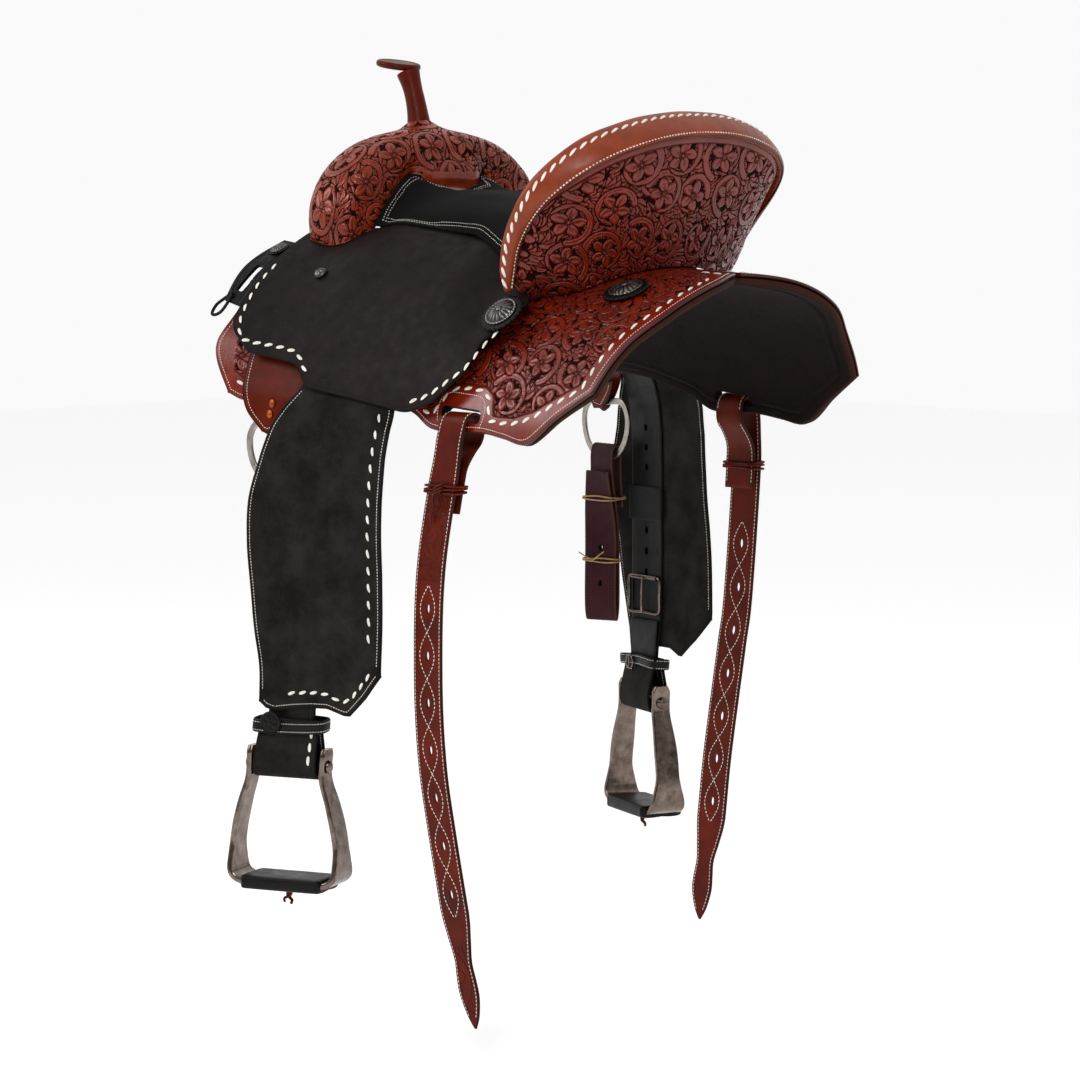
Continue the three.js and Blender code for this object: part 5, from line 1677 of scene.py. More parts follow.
# ---------- conchos ----------
def rosette(heap_leather, heap_metal, place, axis, size):
    """A scalloped leather rosette under a domed daisy of antiqued metal; size 1 is 48 mm across."""
    def scallop(r, h, a):
        far = smooth((r - 19 * size) / (4 * size))
        return r + far * 1.3 * size * (np.abs(np.cos(11 * a))
                                       - 0.5), h - 0.5 * size * far * (np.abs(np.sin(11 * a)) > 0.9)
    leather = [[0.01, 0.3], [20, 0.3], [23, 0.5], [23.6, 1.4], [23.0, 2.6], [21.4, 3.1], [19, 2.7],
               [17, 2.7], [0.01, 2.7]]
    turned(heap_leather, [[r * size, h * size] for r, h in leather], place, axis, 132, scallop)

    def daisy(r, h, a):
        petals = smooth((r / size - 3.6) / 2) * smooth((15.2 - r / size) / 1.5)
        rope = smooth((r / size - 15.0) / 0.8) * smooth((17.9 - r / size) / 0.8)
        return r, h + size * (0.75 * petals * (np.abs(np.cos(8 * a)) - 0.7) + 0.4 * rope
                              * np.cos(28 * a))

    def soot(r, h, a):
        petals = smooth((r / size - 3.6) / 2) * smooth((15.0 - r / size) / 1.2)
        ring = bell(r / size, 0.8, 15.2) + bell(r / size, 0.7, 3.7)
        return np.clip(petals * (1 - np.abs(np.cos(8 * a))) * 1.7 + ring, 0, 1)
    metal_profile = [[0.01, 2.9], [16.6, 2.9], [17.8, 3.3], [17.9, 4.2], [17.0, 4.9], [16.2, 4.9],
                     [15.2, 4.2], [14.2, 5.0], [12.6, 6.2], [10.8, 7.2], [9.0, 7.9], [7.2, 8.3],
                     [5.4, 8.4], [4.2, 8.1], [3.6, 7.9], [3.2, 8.5], [2.4, 9.1], [1.2, 9.45],
                     [0.01, 9.5]]
    turned(heap_metal, [[r * size, h * size] for r, h in metal_profile], place, axis, 144, daisy,
           soot)


def make_conchos():
    for name, side in SIDES:
        for kind, x, t, h in (("rear", -239, 26.5, 2.0), ("seat", -131, 47.5, None)):
            lift = float(jockey_top(np.float64(x), np.float64(t))) + 3.4 if h is None else h
            place, axis = barrel(x, t, lift, side), barrel_normal(x, t, side)
            leather, dome = Heap(), Heap()
            rosette(leather, dome, place, axis, 1.1)
            leather.build(f"{kind}_rosette_{name}", "saddle", "black", slot="leather_black")
            dome.build(f"{kind}_concho_shape_{name}", "saddle", "silver",
                       replaces=[f"{kind}_concho_{name}"], slot="silver")
        x, t = 151, 45
        place, axis = barrel(x, t, float(jockey_top(np.float64(x), np.float64(t))) + 1.6,
                             side), barrel_normal(x, t, side)
        button = Heap()

        def star(r, h, a):
            petals = smooth((r - 1.6) / 0.8) * smooth((6.8 - r) / 1.2)
            return r, h + 0.35 * petals * np.cos(6 * a)

        def star_soot(r, h, a):
            petals = smooth((r - 1.6) / 0.8) * smooth((7.2 - r) / 1.2)
            return np.clip(0.75 - 0.6 * petals * (0.5 + 0.5 * np.cos(6 * a)), 0, 1)
        profile = [[0.01, 0], [8.4, 0], [8.6, 0.8], [8.2, 1.8], [7.2, 2.8], [5.8, 3.7], [4.2, 4.3],
                   [3, 4.6], [2, 4.8], [1.4, 4.9], [0.8, 5.1], [0.01, 5.1]]
        turned(button, profile, place, axis, 72, star, star_soot)
        button.build(f"jockey_button_shape_{name}", "saddle", "silver",
                     replaces=[f"jockey_button_{name}"], slot="silver")


# ---------- straps ----------
def strap_ribbon(name, path, place, half, thick, body, material, count=200, across=28, relief=None,
                 cutters=(), **more):
    """A ribbon along [out, z] points; relief(run, a, z) gives its seen side's height and tone."""
    pts = np.array([[0.0, o, z] for o, z in path])
    line = evenly(pts, count + 1)
    t = tangents(line)
    normal = np.stack([-t[:, 2], t[:, 1]], axis=1)
    run = run_along(line)
    share = run / run[-1]
    w = np.array([half(s, p[2]) if callable(half) else half for s, p in zip(share, line)])
    q = np.linspace(-1, 1, across + 1)
    q = np.sign(q) * (1 - (1 - np.abs(q)) ** 1.5)
    rad = thick / 2
    rings, tones, edges = [], [], []
    for k in range(len(line)):
        a = q * w[k]
        fall = np.maximum(np.abs(a) - (w[k] - rad), 0) / rad
        e = rad * np.sqrt(np.maximum(1 - fall**2, 0))
        if k in (0, len(line) - 1):
            e = e * 0.45
        rise, tone = relief(run[k], a, line[k, 2]) if relief else (0 * a, 0 * a)
        h = e + rise * (fall < 0.5)
        top = place(a, line[k, 1] + normal[k, 0] * h, line[k, 2] + normal[k, 1] * h)
        low = place(a[1:-1], line[k, 1] - normal[k, 0] * e[1:-1],
                    line[k, 2] - normal[k, 1] * e[1:-1])[::-1]
        rings.append(np.concatenate([top, low]))
        tones.append(np.concatenate([tone, np.zeros(len(low))]))
        side = bell(w[k] - np.abs(a), 1.6)
        edges.append(np.concatenate([side, side[1:-1][::-1]]))
    verts, faces = loft(np.array(rings))
    tone, edge = np.concatenate(tones), np.concatenate(edges)
    extra = len(verts) - len(tone)
    attributes = {"tone": np.concatenate([tone, np.zeros(extra)]),
                  "edge": np.concatenate([edge, np.ones(extra)])}
    obj = make(name, verts, faces, body, material, attributes=attributes, **more)
    if cutters:
        cut(obj, *cutters)
    return obj


def strap_rows(heap, path, place, half, offset, lift, inset_by, count=400, share=(0.0, 1.0),
               rows=(-1, 1), size=FINE, wide=0.5, high=0.42):
    """Two rows of stitches along a ribbon's edges, on the side that lift points to."""
    pts = np.array([[0.0, o, z] for o, z in path])
    line = even(pts, np.linspace(share[0], share[1], count + 1))
    t = tangents(line)
    normal = np.stack([-t[:, 2], t[:, 1]], axis=1) * lift
    where = np.linspace(share[0], share[1], count + 1)
    for row in rows:
        w = np.array([half(s, p[2]) if callable(half) else half for s, p in zip(where, line)])
        a = row * (w - inset_by)
        p = place(a, line[:, 1] + normal[:, 0] * offset, line[:, 2] + normal[:, 1] * offset)
        n = unit(place(a, line[:, 1] + normal[:, 0] * (offset + 1),
                       line[:, 2] + normal[:, 1] * (offset + 1)) - p)
        sew(heap, p, n, *size, wide, high)


def band_ribbon(name, outline, place, z, height, thick, body, material, count=96, **more):
    """A flat band looped round [a, out] points at one height."""
    line = evenly_round([[a, o] for a, o in outline], count)
    t = tangents(line, True)
    normal = np.stack([-t[:, 1], t[:, 0]], axis=1)
    rad = thick / 2
    q = np.linspace(-1, 1, 9)
    rings, edges = [], []
    for k in range(count):
        fall = np.maximum(np.abs(q * height / 2) - (height / 2 - rad), 0) / rad
        e = rad * np.sqrt(np.maximum(1 - fall**2, 0.04))
        zz = (z[k] if hasattr(z, "__len__") else z) + q * height / 2
        a, o = line[k, 0] + normal[k, 0] * e, line[k, 1] + normal[k, 1] * e
        b, p = line[k, 0] - normal[k, 0] * e, line[k, 1] - normal[k, 1] * e
        rings.append(np.concatenate([place(a, o, zz), place(b, p, zz)[::-1]]))
        side = np.exp(-(((1 - np.abs(q)) * height / 2 / 1.3) ** 2))
        edges.append(np.concatenate([side, side[::-1]]))
    verts, faces = loft(np.array(rings), True)
    edge = np.concatenate(edges)
    return make(name, verts, faces, body, material, attributes={"edge": edge}, **more)


def band_outline(half, low, high):
    w = half
    return [[-w + 3, low], [0, low], [w - 3, low], [w, (low + high) / 2], [w - 3, high], [0, high],
            [-w + 3, high], [-w, (low + high) / 2]]


# ---------- off billet, folded over the far ring ----------
OFF_BILLET = [[-14, -204], [-14, -300], [-14, -378], [-10, -391], [-6, -378], [-6, -280],
              [-6.6, -205], [-6.8, -184], [-4.5, -174], [0, -171], [4.5, -174], [6.8, -184],
              [6.8, -205], [6.4, -250]]


def make_off_billet():
    place = rigging(-1, 26)

    def relief(run, a, z):
        crease = sum(bell(np.abs(a), 0.7, k) for k in (12.5, 16.5, 19.2)) * 0.35
        return -crease, crease * 1.4
    holes = []
    for z in (-300, -345):
        rings = [place(6 * np.cos(np.linspace(0, 2 * np.pi, 17)[:-1]) * 0.55, o,
                       z + 6 * np.sin(np.linspace(0, 2 * np.pi, 17)[:-1]) * 0.75)
                 for o in (-30, 20)]
        holes.append(loft(rings))
    strap_ribbon("off_billet_shape", OFF_BILLET, place, 22.0, 3.2, "off_billet", "burgundy", 260,
                 30, relief, replaces=["off_billet"], slot="burgundy", cutters=holes)
    fine = Heap()
    for inset_by in (2.8, 5.5, 9.5):
        strap_rows(fine, OFF_BILLET, place, 22.0, 1.55, -1, inset_by, 500, (0.0, 0.42),
                   size=(2.3, 3.4), wide=0.4, high=0.35)
        strap_rows(fine, OFF_BILLET, place, 22.0, 1.55, 1, inset_by, 500, (0.56, 0.98),
                   size=(2.3, 3.4), wide=0.4, high=0.35)
    fine.build("off_billet_stitching", "off_billet", "black_thread")
    string = Heap()
    for z, wobble in ((-236, 1.2), (-239.5, -0.9), (-314, 0.8), (-317.5, -1.0)):
        low, high = (-18.5, 11.5) if z > -260 else (-18, -2)
        loop = evenly_round(band_outline(25.5, low, high), 96)
        zz = z + wobble * np.sin(np.linspace(0, 4 * np.pi, 96))
        string.add(*tube(place(loop[:, 0], loop[:, 1], zz), 0.95, 8, closed=True))
    for (a, o, z), (b, p, y) in (((8, -19.6, -316), (26, -24, -306)),
                                 ((8, -19.6, -316), (-10, -25, -304))):
        s = np.linspace(0, 1, 14)
        string.add(*tube(place(lerp(a, b, s), lerp(o, p, s) - 2 * np.sin(s * 3.1), lerp(z, y, s)),
                         0.8, 6))
    string.build("off_billet_string", "off_billet", "tan_thread", replaces=["off_billet_band"],
                 slot="leather_tan")


# ---------- hanging leather and stirrups ----------
HANG_OUT = np.array([[-40, 253], [-56, 257], [-76, 262.5], [-96, 272.5], [-117, 279.5], [-150, 285],
                     [-200, 288.5], [-300, 292.5], [-520, 297], [-800, 297]], float)
HANG_FORE = {1: 31, -1: 14}
HANG_RISE = {1: 4, -1: 22}


def hang(side):
    def place(a, n, depth):
        a, n, depth = np.broadcast_arrays(*(np.asarray(v, float) for v in (a, n, depth)))
        s = np.clip((-depth - 60) / 460, -0.05, 1)
        turn = np.radians(10 + 11 * smooth((-depth - 390) / 100))
        z = depth + HANG_RISE[side] * smooth((-depth - 90) / 260)
        out = np.interp(-z, -HANG_OUT[:, 0], HANG_OUT[:, 1])
        x = 88 + HANG_FORE[side] * s + a * np.cos(turn) - n * np.sin(turn)
        return np.stack([x, side * (out + a * np.sin(turn) + n * np.cos(turn)), z], axis=-1)
    return place


FENDER = {
    "top": [[-100, -75], [-60, -64], [12, -60], [28, -66]],
    "rear": [[-100, -75], [-110, -96], [-111, -143], [-112, -191], [-115, -240], [-121, -290],
             [-125, -340], [-127, -400]],
    "bottom": [[-127, -400], [-104, -427], [-80, -450], [-72, -450], [-50, -443], [-30, -443.5],
               [-5, -446], [20, -450], [32, -447], [42, -440]],
    "front": [[28, -66], [56, -114], [68, -158], [78, -205], [76, -255], [66, -310], [58, -355],
              [47, -400], [42, -440]],
}
LEATHER_PATH = [[-0.5, -57], [-0.5, -200], [-0.5, -400], [-0.5, -468], [3.4, -488], [7.1, -508],
                [5, -519], [-3, -522.1], [-11, -519], [-13.1, -508], [-9.4, -488], [-5.5, -468],
                [-5.5, -411]]
WRAP_PATH = [[3.4, -458], [4.6, -472], [8, -490], [10.7, -509], [8, -521], [-3, -525.9],
             [-14, -521], [-16.7, -509], [-13.4, -488], [-9.4, -470], [-9.2, -462]]


def fender_border(spacing):
    s = {k: even(v, np.linspace(0, 1, 300), bent=(k != "bottom")) for k, v in FENDER.items()}
    return closed_border(s, spacing), s


def hanging_face(place, line, n, lift):
    p = place(line[:, 0], n, line[:, 1])
    return p, unit(place(line[:, 0], n + lift, line[:, 1]) - p)


def make_fender(name, side):
    place = hang(side)
    body = f"hanging_leather_{name}"
    loop, s = fender_border(3.0)
    counts = {"top": 97, "bottom": 97, "rear": 181, "front": 181}
    g = filled({k: even(x, np.linspace(0, 1, counts[k]), bent=(k != "bottom"))
                for k, x in FENDER.items()})
    d = distance_to(g, loop)
    crease = bell(d, 0.9, 3.2) * 0.35
    wave = 0.5 * np.sin(g[..., 1] / 41 + 0.7) * np.sin(g[..., 0] / 33) * np.minimum(d / 20, 1)
    outer = place(g[..., 0], 4.9 + wave - rounding(d, 1.4) - crease, g[..., 1])
    inner = place(g[..., 0], 1.9 + np.maximum(wave, -0.2) * 0.5 + rounding(d, 1.0), g[..., 1])
    shell(f"fender_shape_{name}", outer, inner, body, "roughout", step=4, edge=bell(d, 2.2),
          replaces=[f"fender_{name}"], slot="leather_black")
    fine, rope = Heap(), Heap()
    for key, by in (("rear", 5.5), ("front", -5.5)):
        path = inset(s[key], by)[8:-10]
        sew(fine, *hanging_face(place, path, 5.0, 1), *FINE, 0.5, 0.42)
        sew(fine, *hanging_face(place, path, 1.8, -1), *FINE, 0.5, 0.42)
    path = inset(s["bottom"], 5.5)[6:-6]
    path = path[distance_to(path, loop) > 4.8]
    sew(fine, *hanging_face(place, path, 5.0, 1), *FINE, 0.5, 0.42)
    rear_buck = inset(s["rear"], 18)[20:-26]
    low = np.array([[-112, -398], [-96, -416], [-80, -431], [-70, -433], [-52, -426], [-32, -425],
                    [-8, -427], [8, -429]], float)
    rope_sew(rope, *hanging_face(place, rear_buck, 5.2, 1), BUCK[0] * 0.9, 19.0, BUCK[2] * 0.9,
             skew=1.0)
    rope_sew(rope, *hanging_face(place, evenly(low, 120), 5.2, 1), BUCK[0] * 0.9, 15.5,
             BUCK[2] * 0.9, skew=1.0)
    fine.build(f"fender_stitching_{name}", body, "thread")
    rope.build(f"fender_buckstitch_{name}", body, "lace")


def disc_cutter(place, a, z, ra, rz, low, high, sides=18):
    t = circle(sides)
    return loft([place(a + ra * np.cos(t), n, z + rz * np.sin(t)) for n in (low, high)])


def make_leather(name, side):
    place = hang(side)
    body = f"hanging_leather_{name}"

    def relief(run, a, z):
        crease = bell(np.abs(a), 0.8, 26.5) * 0.35
        return -crease, crease
    holes = [disc_cutter(place, 0, z, 3.4, 5.2, -2.6, 3.0)
             for z in (-150, -178, -206, -296, -324, -352)]
    strap_ribbon(f"stirrup_leather_shape_{name}", LEATHER_PATH, place, 30, 3, body, "black", 240,
                 30, relief, replaces=[f"stirrup_leather_{name}"], slot="leather_black",
                 cutters=holes)
    fine, white = Heap(), Heap()
    strap_rows(fine, LEATHER_PATH, place, 30, 1.5, -1, 3.6, 500, (0.0, 0.46), size=(2.4, 3.6),
               wide=0.45, high=0.4)
    strap_rows(fine, LEATHER_PATH, place, 30, 1.5, -1, 9.5, 500, (0.0, 0.46), size=(2.4, 3.6),
               wide=0.45, high=0.4)
    strap_rows(fine, LEATHER_PATH, place, 30, 1.5, 1, 3.6, 300, (0.6, 0.98), size=(2.4, 3.6),
               wide=0.45, high=0.4)
    fine.build(f"leather_stitching_{name}", body, "black_thread")

    def wrap_half(s, z):
        return 41 - 3.0 * smooth(abs(s - 0.5) * 2)
    strap_ribbon(f"fender_wrap_shape_{name}", WRAP_PATH, place, wrap_half, 3, body, "roughout", 130,
                 30, None, replaces=[f"fender_wrap_{name}"], slot="leather_black")
    strap_rows(white, WRAP_PATH, place, wrap_half, 1.5, -1, 3.8, 260, (0.02, 0.98))
    white.build(f"wrap_stitching_{name}", body, "thread")
    rope = Heap()
    for k, z in enumerate((-474, -489, -504)):
        a = -31.0
        o = [4.9, 8.0, 10.4][k] + 1.8
        p, q = place(a - 1, o - 0.4, z + 5), place(a + 1, o + 0.4, z - 5)
        n = unit(place(a, o + 1, z) - place(a, o, z))
        rope.add(*stitch(p, q, n, 2.0, 0.9, 8, 7, 1.0))
    rope.build(f"wrap_buckstitch_{name}", body, "lace")

    outline = band_outline(46, -13.5, 8)
    z = -465 + 3.0 * np.sin(np.linspace(0, 2 * np.pi, 97)[:-1] + 0.6)
    band_ribbon(f"hobble_strap_shape_{name}", outline, place, z, 15 if side > 0 else 13, 2.4, body,
                "black", 96, replaces=[f"hobble_strap_{name}"], slot="leather_black")
    stitches = Heap()
    loop = evenly_round(outline, 96)
    t = tangents(loop, True)
    out = np.stack([-t[:, 1], t[:, 0]], axis=1)
    if ((loop - loop.mean(0)) * out).sum() < 0:
        out = -out
    for dz in (-4.6, 4.6):
        p = place(loop[:, 0] + out[:, 0] * 1.35, loop[:, 1] + out[:, 1] * 1.35, z + dz)
        q = place(loop[:, 0] + out[:, 0] * 2.35, loop[:, 1] + out[:, 1] * 2.35, z + dz)
        sew(stitches, p, unit(q - p), 2.1, 3.3, 0.42, 0.36)
    if side > 0:
        disc = Heap()

        def flower(r, h, a):
            petals = smooth((r - 2.2) / 0.8) * smooth((9.4 - r) / 0.8) * (h > 1)
            return r, h + 0.35 * petals * (np.abs(np.cos(2.5 * a)) * 2 - 1)
        profile = [[0.01, 0], [12.4, 0], [13.4, 0.6], [13.5, 2.0], [12.8, 2.9], [11.8, 3.0],
                   [11.0, 2.5], [10.2, 2.5], [9.4, 2.9], [7.6, 2.9], [5.8, 2.9], [4.0, 2.9],
                   [2.6, 2.9], [2.0, 3.3], [0.9, 3.6], [0.01, 3.7]]
        axis = unit(place(20, 10, -463) - place(20, 9, -463))
        turned(disc, profile, place(20, 9.7, -463), axis, 90, flower, lambda r, h,
               a: np.clip(0.8 - np.abs(np.cos(2.5 * a)), 0, 1) * ((r > 2.2) & (r < 9.4)))
        disc.build("hobble_disc_left", body, "black", slot="leather_black")
    stitches.build(f"hobble_stitching_{name}", body, "thread")
    if side < 0:
        make_hobble_buckle(place, body)

    grid_u, grid_v = np.meshgrid(np.linspace(-33, 33, 40), np.linspace(-282, -234, 30),
                                 indexing="ij")
    d = np.minimum(33 - np.abs(grid_u), np.minimum(grid_v + 282, -234 - grid_v))
    ribs = 0.12 * np.sin(grid_v * 2 * np.pi / 3.2)
    keeper_out = place(grid_u, -5.3 + rounding(d, 0.8) - ribs, grid_v)
    keeper_in = place(grid_u, -2.6 - rounding(d, 0.5), grid_v)
    shell(f"leather_keeper_shape_{name}", keeper_out, keeper_in, body, "nylon",
          replaces=[f"leather_keeper_{name}"], slot="suede")
    make_leather_buckle(name, place, body)


def wire_frame(place, corners, n, radius, sides=12, count=140):
    """A closed wire bent through [a, z] corners."""
    line = evenly_round(corners, count)
    p = place(line[:, 0], n, line[:, 1])
    return tube(p, radius, sides, closed=True)


def make_leather_buckle(name, place, body):
    heap = Heap()
    a, top, low = 31.0, -357.8, -402.0
    corners = [[-a + 3, top], [0, top], [a - 3, top], [a, top - 3], [a, (top + low) / 2],
               [a, low + 3], [a - 3, low], [0, low], [-a + 3, low], [-a, low + 3],
               [-a, (top + low) / 2], [-a, top - 3]]
    heap.add(*wire_frame(place, corners, -4.9, 1.9))
    roller = tube(place(np.linspace(-25, 25, 20), -4.9, top), 3.0, 20, up=(0, 1, 0))
    heap.add(*roller)
    heap.build(f"leather_buckle_shape_{name}", body, "aluminium", sharp=50,
               replaces=[f"leather_buckle_{name}"], slot="aluminium")
    tongue = Heap()
    s = np.linspace(0, 1, 24)
    line = place(0 * s, -8.4 - 0.9 * np.sin(s * 3.0), -402.5 + 45 * s)
    tongue.add(*tube(line, 1.7 - 0.5 * s, 12))
    tongue.build(f"buckle_tongue_shape_{name}", f"buckle_tongue_{name}", "aluminium",
                 replaces=[f"buckle_tongue_{name}"], slot="aluminium")


def make_hobble_buckle(place, body):
    heap = Heap()
    t = np.linspace(-0.35 * np.pi, 1.35 * np.pi, 40)
    arc = np.stack([14 + 8.5 * np.cos(t), -466 + 8.5 * np.sin(t)], axis=1)
    heap.add(*tube(place(arc[:, 0], -16.6, arc[:, 1]), 1.25, 10))
    heap.add(*tube(place(np.linspace(6, 22, 12), -16.4, -474.3 + 0 * np.linspace(6, 22, 12)), 1.2,
                   10))
    heap.add(*tube(place(np.linspace(14, 14.2, 12), -17.6, np.linspace(-474, -458.5, 12)), 0.9, 8))
    heap.build("hobble_buckle_right", body, "aluminium", slot="aluminium")


STIRRUP_PATH = [[-47, -491], [-47, -526], [-56, -556], [-64, -590], [-67, -620], [-65, -640],
                [-52, -648], [0, -649], [52, -648], [65, -640], [67, -620], [64, -590], [56, -556],
                [47, -526], [47, -491]]


def make_stirrup(name, side):
    place = hang(side)
    body = f"stirrup_{name}"
    pts = np.array([[a, 0.0, z] for a, z in STIRRUP_PATH])
    line = evenly(pts, 181)
    t = tangents(line)
    bevel = [[1, 0.5], [1, 0.8], [0.8, 0.93], [0.45, 1], [-0.45, 1], [-0.8, 0.93], [-1, 0.8],
             [-1, 0.5]]
    shape = np.array(bevel + [[-s, -n] for s, n in bevel])
    rings = []
    for k, (p, d) in enumerate(zip(line, t)):
        end = min(1.0, 0.72 + 0.1 * min(k, len(line) - 1 - k))
        thick = 3.6
        depth = lerp(12, 15.5, smooth((-p[2] - 520) / 60)) + 8 * smooth((-p[2] - 600) / 45)
        depth *= end
        s, n = shape[:, 0] * thick, shape[:, 1]
        deep = depth - 7 * (1 - np.abs(n))
        rings.append(place(p[0] - s * d[2], -3 + np.sign(n) * deep, p[2] + s * d[0]))
    verts, faces = loft(rings)
    make(f"stirrup_shape_{name}", verts, faces, body, "aluminium", sharp=35,
         replaces=[f"stirrup_{name}"], slot="aluminium")
    bolt = Heap()
    s = np.linspace(-52, 52, 30)
    bolt.add(*tube(place(s, -3, -512), 4.6, 24, up=(0, 1, 0)))
    bolt.add(*tube(place(s * 0.8, -3, -512), 6.4, 28, up=(0, 1, 0)))
    for end in (-1, 1):
        axis = unit(place(end, -3, -512) - place(0, -3, -512))
        head = [[0.01, 0], [6.6, 0], [7.4, 0.8], [7.2, 2.0], [5.4, 3.6], [3, 4.5], [0.01, 4.7]]
        turned(bolt, head, place(end * 50.2, -3, -512), axis, 32)
    bolt.build(f"stirrup_bolt_shape_{name}", body, "aluminium", replaces=[f"stirrup_bolt_{name}"],
               slot="aluminium")
    a = np.linspace(-50, 50, 90)
    angle = circle(64)
    rings, edges = [], []
    for k, x in enumerate(a):
        c, sn = np.cos(angle), np.sin(angle)
        power = 0.35
        end = min(1.0, 0.9 + 0.04 * min(k, len(a) - 1 - k))
        crown = 0.9 * math.cos(x / 50 * 1.4)
        n = -3 + 29 * end * np.sign(c) * np.abs(c) ** power
        z = -648.5 + (8.3 + 0.2 * crown) * end * np.sign(sn) * np.abs(sn) ** power
        seam = bell(n, 2.2, -3) * (sn < 0) * 1.0
        rings.append(place(x, n, z + seam * 0.9))
        edges.append(0.4 * seam)
    verts, faces = loft(rings)
    edge = np.concatenate([np.array(edges).ravel(), [0, 0]])
    make(f"stirrup_tread_shape_{name}", verts, faces, body, "black", sharp=50,
         attributes={"edge": edge}, replaces=[f"stirrup_tread_{name}"],
         slot="leather_black")
    lace = Heap()
    for k in range(15):
        x = -42 + 6.0 * k
        p, q = place(x, -6.5, -657.0), place(x + 3, 0.5, -657.0)
        lace.add(*stitch(p, q, np.array([0, 0, -1.0]), 0.9, 0.7, 6, 5))
    knot = evenly([[-2, -3, -657], [0, -3, -660], [3, -4, -664], [1, -5, -668], [-3, -3, -671],
                   [-2, -2, -675]], 30)
    lace.add(*tube(place(*knot.T), np.linspace(2.6, 1.6, 30), 8))
    knot = knot * [-1.4, 1, 1] + [2, 1.5, 2]
    lace.add(*tube(place(*knot.T), np.linspace(2.2, 1.4, 30), 8))
    lace.build(f"tread_lacing_{name}", body, "tan", slot="leather_tan")


# ---------- rear billets ----------
BILLET_OUT = [[-3, -208], [-3.2, -172], [-5, -156], [-14, -140], [-23, -128], [-24.5, -117],
              [-19, -101], [-8, -95.5], [3, -99], [7.4, -116], [8, -150], [8, -260], [8, -380],
              [8, -500], [8, -600], [8, -700]]
BILLET_X = {
    1: [[-90, -104], [-146, -93], [-272, -67], [-392, -62], [-488, -68], [-571, -84], [-690, -112],
        [-800, -141]],
    -1: [[-90, -104], [-163, -107], [-335, -94], [-406, -83], [-535, -62], [-625, -51], [-700, -38],
         [-800, -30]],
}
BILLET_TIP = np.array([[0, 1.2], [14, 9], [38, 15.5], [56, 15], [74, 13.5], [100, 18], [130, 22.5],
                       [900, 22.5]])
BILLET_END = {1: -785, -1: -747}
BILLET_HOLES = {1: [-316 - 53.5 * k for k in range(7)], -1: [-276 - 53.5 * k for k in range(7)]}
BILLET_HALF = 22.5


def billet(side):
    p = np.array(BILLET_X[side], float)
    q = np.concatenate([p[:1], p, p[-1:]])
    table = []
    for k in range(len(p) - 1):
        p0, p1, p2, p3 = q[k:k + 4]
        v0, v1 = (p2 - p0) / 2, (p3 - p1) / 2
        for f in np.linspace(0, 1, 40, endpoint=False):
            table.append((2 * p1 - 2 * p2 + v0 + v1) * f**3 + (-3 * p1 + 3 * p2 - 2 * v0 - v1) * f
                         * f + v0 * f + p1)
    table = np.array(table + [p[-1]])

    def place(a, out, z):
        a, out, z = np.broadcast_arrays(np.asarray(a, float), np.asarray(out, float),
                                        np.asarray(z, float))
        centre = np.interp(-np.minimum(-90, z), -table[:, 0], table[:, 1])
        return np.stack([centre + a, side * (239 + out), z], axis=-1)
    return place


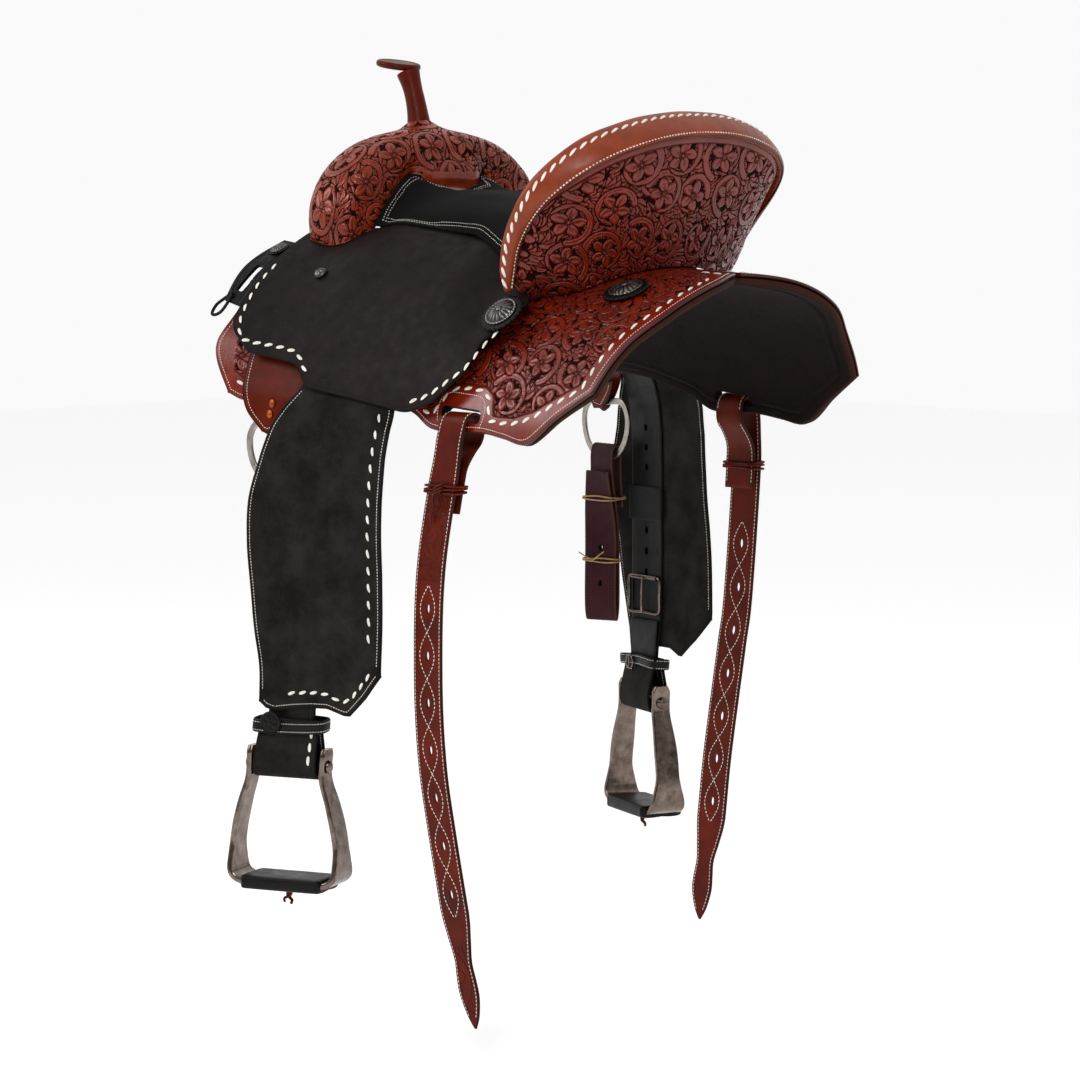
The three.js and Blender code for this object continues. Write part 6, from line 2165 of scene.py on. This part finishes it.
def make_billet(name, side):
    place = billet(side)
    body = f"rear_billet_{name}"
    end = BILLET_END[side]
    path = BILLET_OUT + [[8, end]]

    blade = evenly(BILLET_TIP, 400)

    def half(s, z):
        if s > 0.5 and z - end < 130:
            return float(np.interp(z - end, blade[:, 0], blade[:, 1]))
        return BILLET_HALF - 2 * float(smooth((z + 180) / 50))

    def relief(run, a, z):
        width = half(1.0 if run > 200 else 0.0, z)
        crease = bell(np.abs(a) - width, 0.7, -3.0) * 0.35
        if side > 0 and run > 150:
            ends = [min(-196 - z, z + 284), min(-686 - z, z - end - 9)]
            room = np.minimum(width - 4.6 - np.abs(a), max(ends))
            h, t = tool(300 + 0.8 * z * np.ones_like(a), 180 + 0.8 * a, room, 0.0)
            share = smooth(room / 1.2)
            return h * 0.9 * share - crease, np.where(room > 0, 1 - t, 0) * 0.9 + crease
        return -crease, crease
    holes = [disc_cutter(place, 0, z, 3.1, 6.0, 2, 14, 20) for z in BILLET_HOLES[side]]
    strap_ribbon(f"rear_billet_shape_{name}", path, place, half, 3.6, body, "tan",
                 820 if side > 0 else 300, 40 if side > 0 else 28, relief, replaces=[body],
                 slot="leather_tan", cutters=holes)
    fine = Heap()
    strap_rows(fine, path, place, half, 1.85, 1, 3.2, 900, (0.13, 0.985), size=(3.2, 4.4), wide=0.5,
               high=0.42)
    strap_rows(fine, path, place, half, 1.85, 1, 3.2, 200, (0.01, 0.11), size=(3.2, 4.4), wide=0.5,
               high=0.42)
    strap_rows(fine, path, place, half, 1.85, -1, 3.2, 900, (0.2, 0.985), size=(3.2, 4.4), wide=0.5,
               high=0.42)
    z = np.linspace(BILLET_HOLES[side][0] + 26, BILLET_HOLES[side][-1] - 26, 700)
    for way in (-1, 1):
        a = way * 11.5 * np.cos(np.pi * (z - BILLET_HOLES[side][0]) / 53.5)
        for out, face in ((9.85, 1), (6.15, -1)):
            sew(fine, place(a, out, z), np.tile([0, side * face * 1.0, 0], (len(z), 1)), 3.4, 4.8,
                0.6, 0.48)
    fine.build(f"billet_stitching_{name}", body, "thread")

    loop = evenly_round(band_outline(25.6, -7.6, 12.6), 128)
    tie, knot = Heap(), Heap()
    for k, dz in enumerate((-3.4, 0, 3.4)):
        z = -180 + dz + 0.9 * np.sin(np.linspace(0, 2 * np.pi, 129)[:-1] + 1.7 * k)
        tie.add(*tube(place(loop[:, 0], loop[:, 1], z), 1.75, 10, closed=True, flat=0.8))
    for dz in (0, 3.8, -3.4):
        s = np.linspace(0, 1, 14)
        tie.add(*tube(place(lerp(-6, 7, s), 13.6 + 2.2 * np.sin(np.pi * s),
                            -180 + dz + lerp(3, -3, s)), 1.9, 10, flat=0.8))
    tail = evenly([[3, 14.6, -182], [5, 15.4, -190], [3, 13.6, -200], [6, 12.8, -211],
                   [4, 12.5, -220]], 30)
    tie.add(*tube(place(*tail.T), np.linspace(1.7, 1.2, 30), 8, flat=0.6))
    tail = evenly([[-3, 14.6, -182], [-7, 15.2, -188], [-10, 13.4, -196], [-8, 12.6, -206]], 30)
    tie.add(*tube(place(*tail.T), np.linspace(1.7, 1.2, 30), 8, flat=0.6))
    tie.build(f"billet_tie_shape_{name}", body, "tan", replaces=[f"billet_tie_{name}"],
              slot="leather_tan")


# ---------- latigo carrier ----------
CARRIER = {
    "top": [[238, 33], [258, 33]],
    "rear": [[238, 33], [234, 45], [234, 58]],
    "bottom": [[234, 58], [260, 57]],
    "front": [[258, 33], [268, 45], [260, 57]],
}


def make_carrier():
    g = coons(CARRIER, 60, 110)
    loop = border(CARRIER, 1.5)
    d = distance_to(g, loop)
    x, t = g[..., 0], g[..., 1] / PLANE
    slot_loop = rounded_slot(244.5, 254, 44, 53.5, 2.2)
    hole = distance_to(g, np.array(slot_loop) * [1, PLANE])
    concho = np.hypot(g[..., 0] - 250, g[..., 1] - 37 * PLANE) - 14
    room = np.minimum(np.minimum(d - 5.0, hole - 3.4), concho)
    h, tone = tool(g[..., 0] * 0.8 - 60, g[..., 1] * 0.8, room, 0.5)
    outer = barrel(x, t, 15.2 + h * 0.7 - rounding(d, 1.4), 1)
    inner = barrel(x, t, 11.2 + rounding(d, 0.9), 1)
    obj = shell("latigo_carrier_shape", outer, inner, "latigo_carrier", "black", edge=bell(d, 2),
                tone=(1 - tone) * 0.8 * smooth(room), replaces=["latigo_carrier"],
                slot="leather_black")
    cut(obj, prism(slot_loop, 4, 26, 1))
    fine = Heap()
    flat = inset(np.vstack([loop, loop[:1]]), 3.2)
    if not in_polygon(flat[None, :4], loop).all():
        flat = inset(np.vstack([loop, loop[:1]]), -3.2)
    flat = flat[distance_to(flat, loop) > 2.9]
    px, pt = flat[:, 0], flat[:, 1] / PLANE
    sew(fine, barrel(px, pt, 15.3, 1), barrel_normal(px, pt, 1), 2.0, 3.0, 0.45, 0.4)
    fine.build("carrier_stitching", "latigo_carrier", "black_thread")
    thong = Heap()
    bend = evenly([[260, 55, 12.5], [264, 57, 13], [266, 59, 14.5], [265, 61.5, 15.5],
                   [260, 62, 15.5], [255, 60.5, 15], [253, 58, 15.6], [253, 55.5, 16.8],
                   [256, 54.5, 16.8], [259, 54.6, 15.5]], 90)
    thong.add(*tube(barrel(bend[:, 0], bend[:, 1], bend[:, 2], 1), 1.9, 10))
    thong.build("carrier_thong", "latigo_carrier", "black", slot="leather_black")
    leather, dome = Heap(), Heap()
    rosette(leather, dome, barrel(250, 37, 14.9, 1), barrel_normal(250, 37, 1), 0.56)
    leather.build("carrier_rosette", "latigo_carrier", "black", slot="leather_black")
    dome.build("carrier_concho_shape", "latigo_carrier", "silver", replaces=["carrier_concho"],
               slot="silver")


def dress_frame():
    """Materials of the frame's own parts, which show in gaps and from below."""
    for node, material in (("tree_bar_left", "wood"), ("tree_bar_right", "wood"),
                           ("tree_fork", "wood"), ("tree_cantle", "tan"), ("ground_seat", "tan")):
        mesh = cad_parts[node].data
        mesh.materials.clear()
        mesh.materials.append(MAT[material])


make_camera()
make_studio()
for name, side in SIDES:
    make_skirt(name, side)
    make_lining(name, side)
    make_jockey(name, side)
    make_plate(name, side)
    make_ring(name, side)
    make_fender(name, side)
    make_leather(name, side)
    make_stirrup(name, side)
    make_billet(name, side)
make_cantle()
make_roll()
make_seat()
make_swell()
make_horn()
make_conchos()
make_off_billet()
make_carrier()
dress_frame()
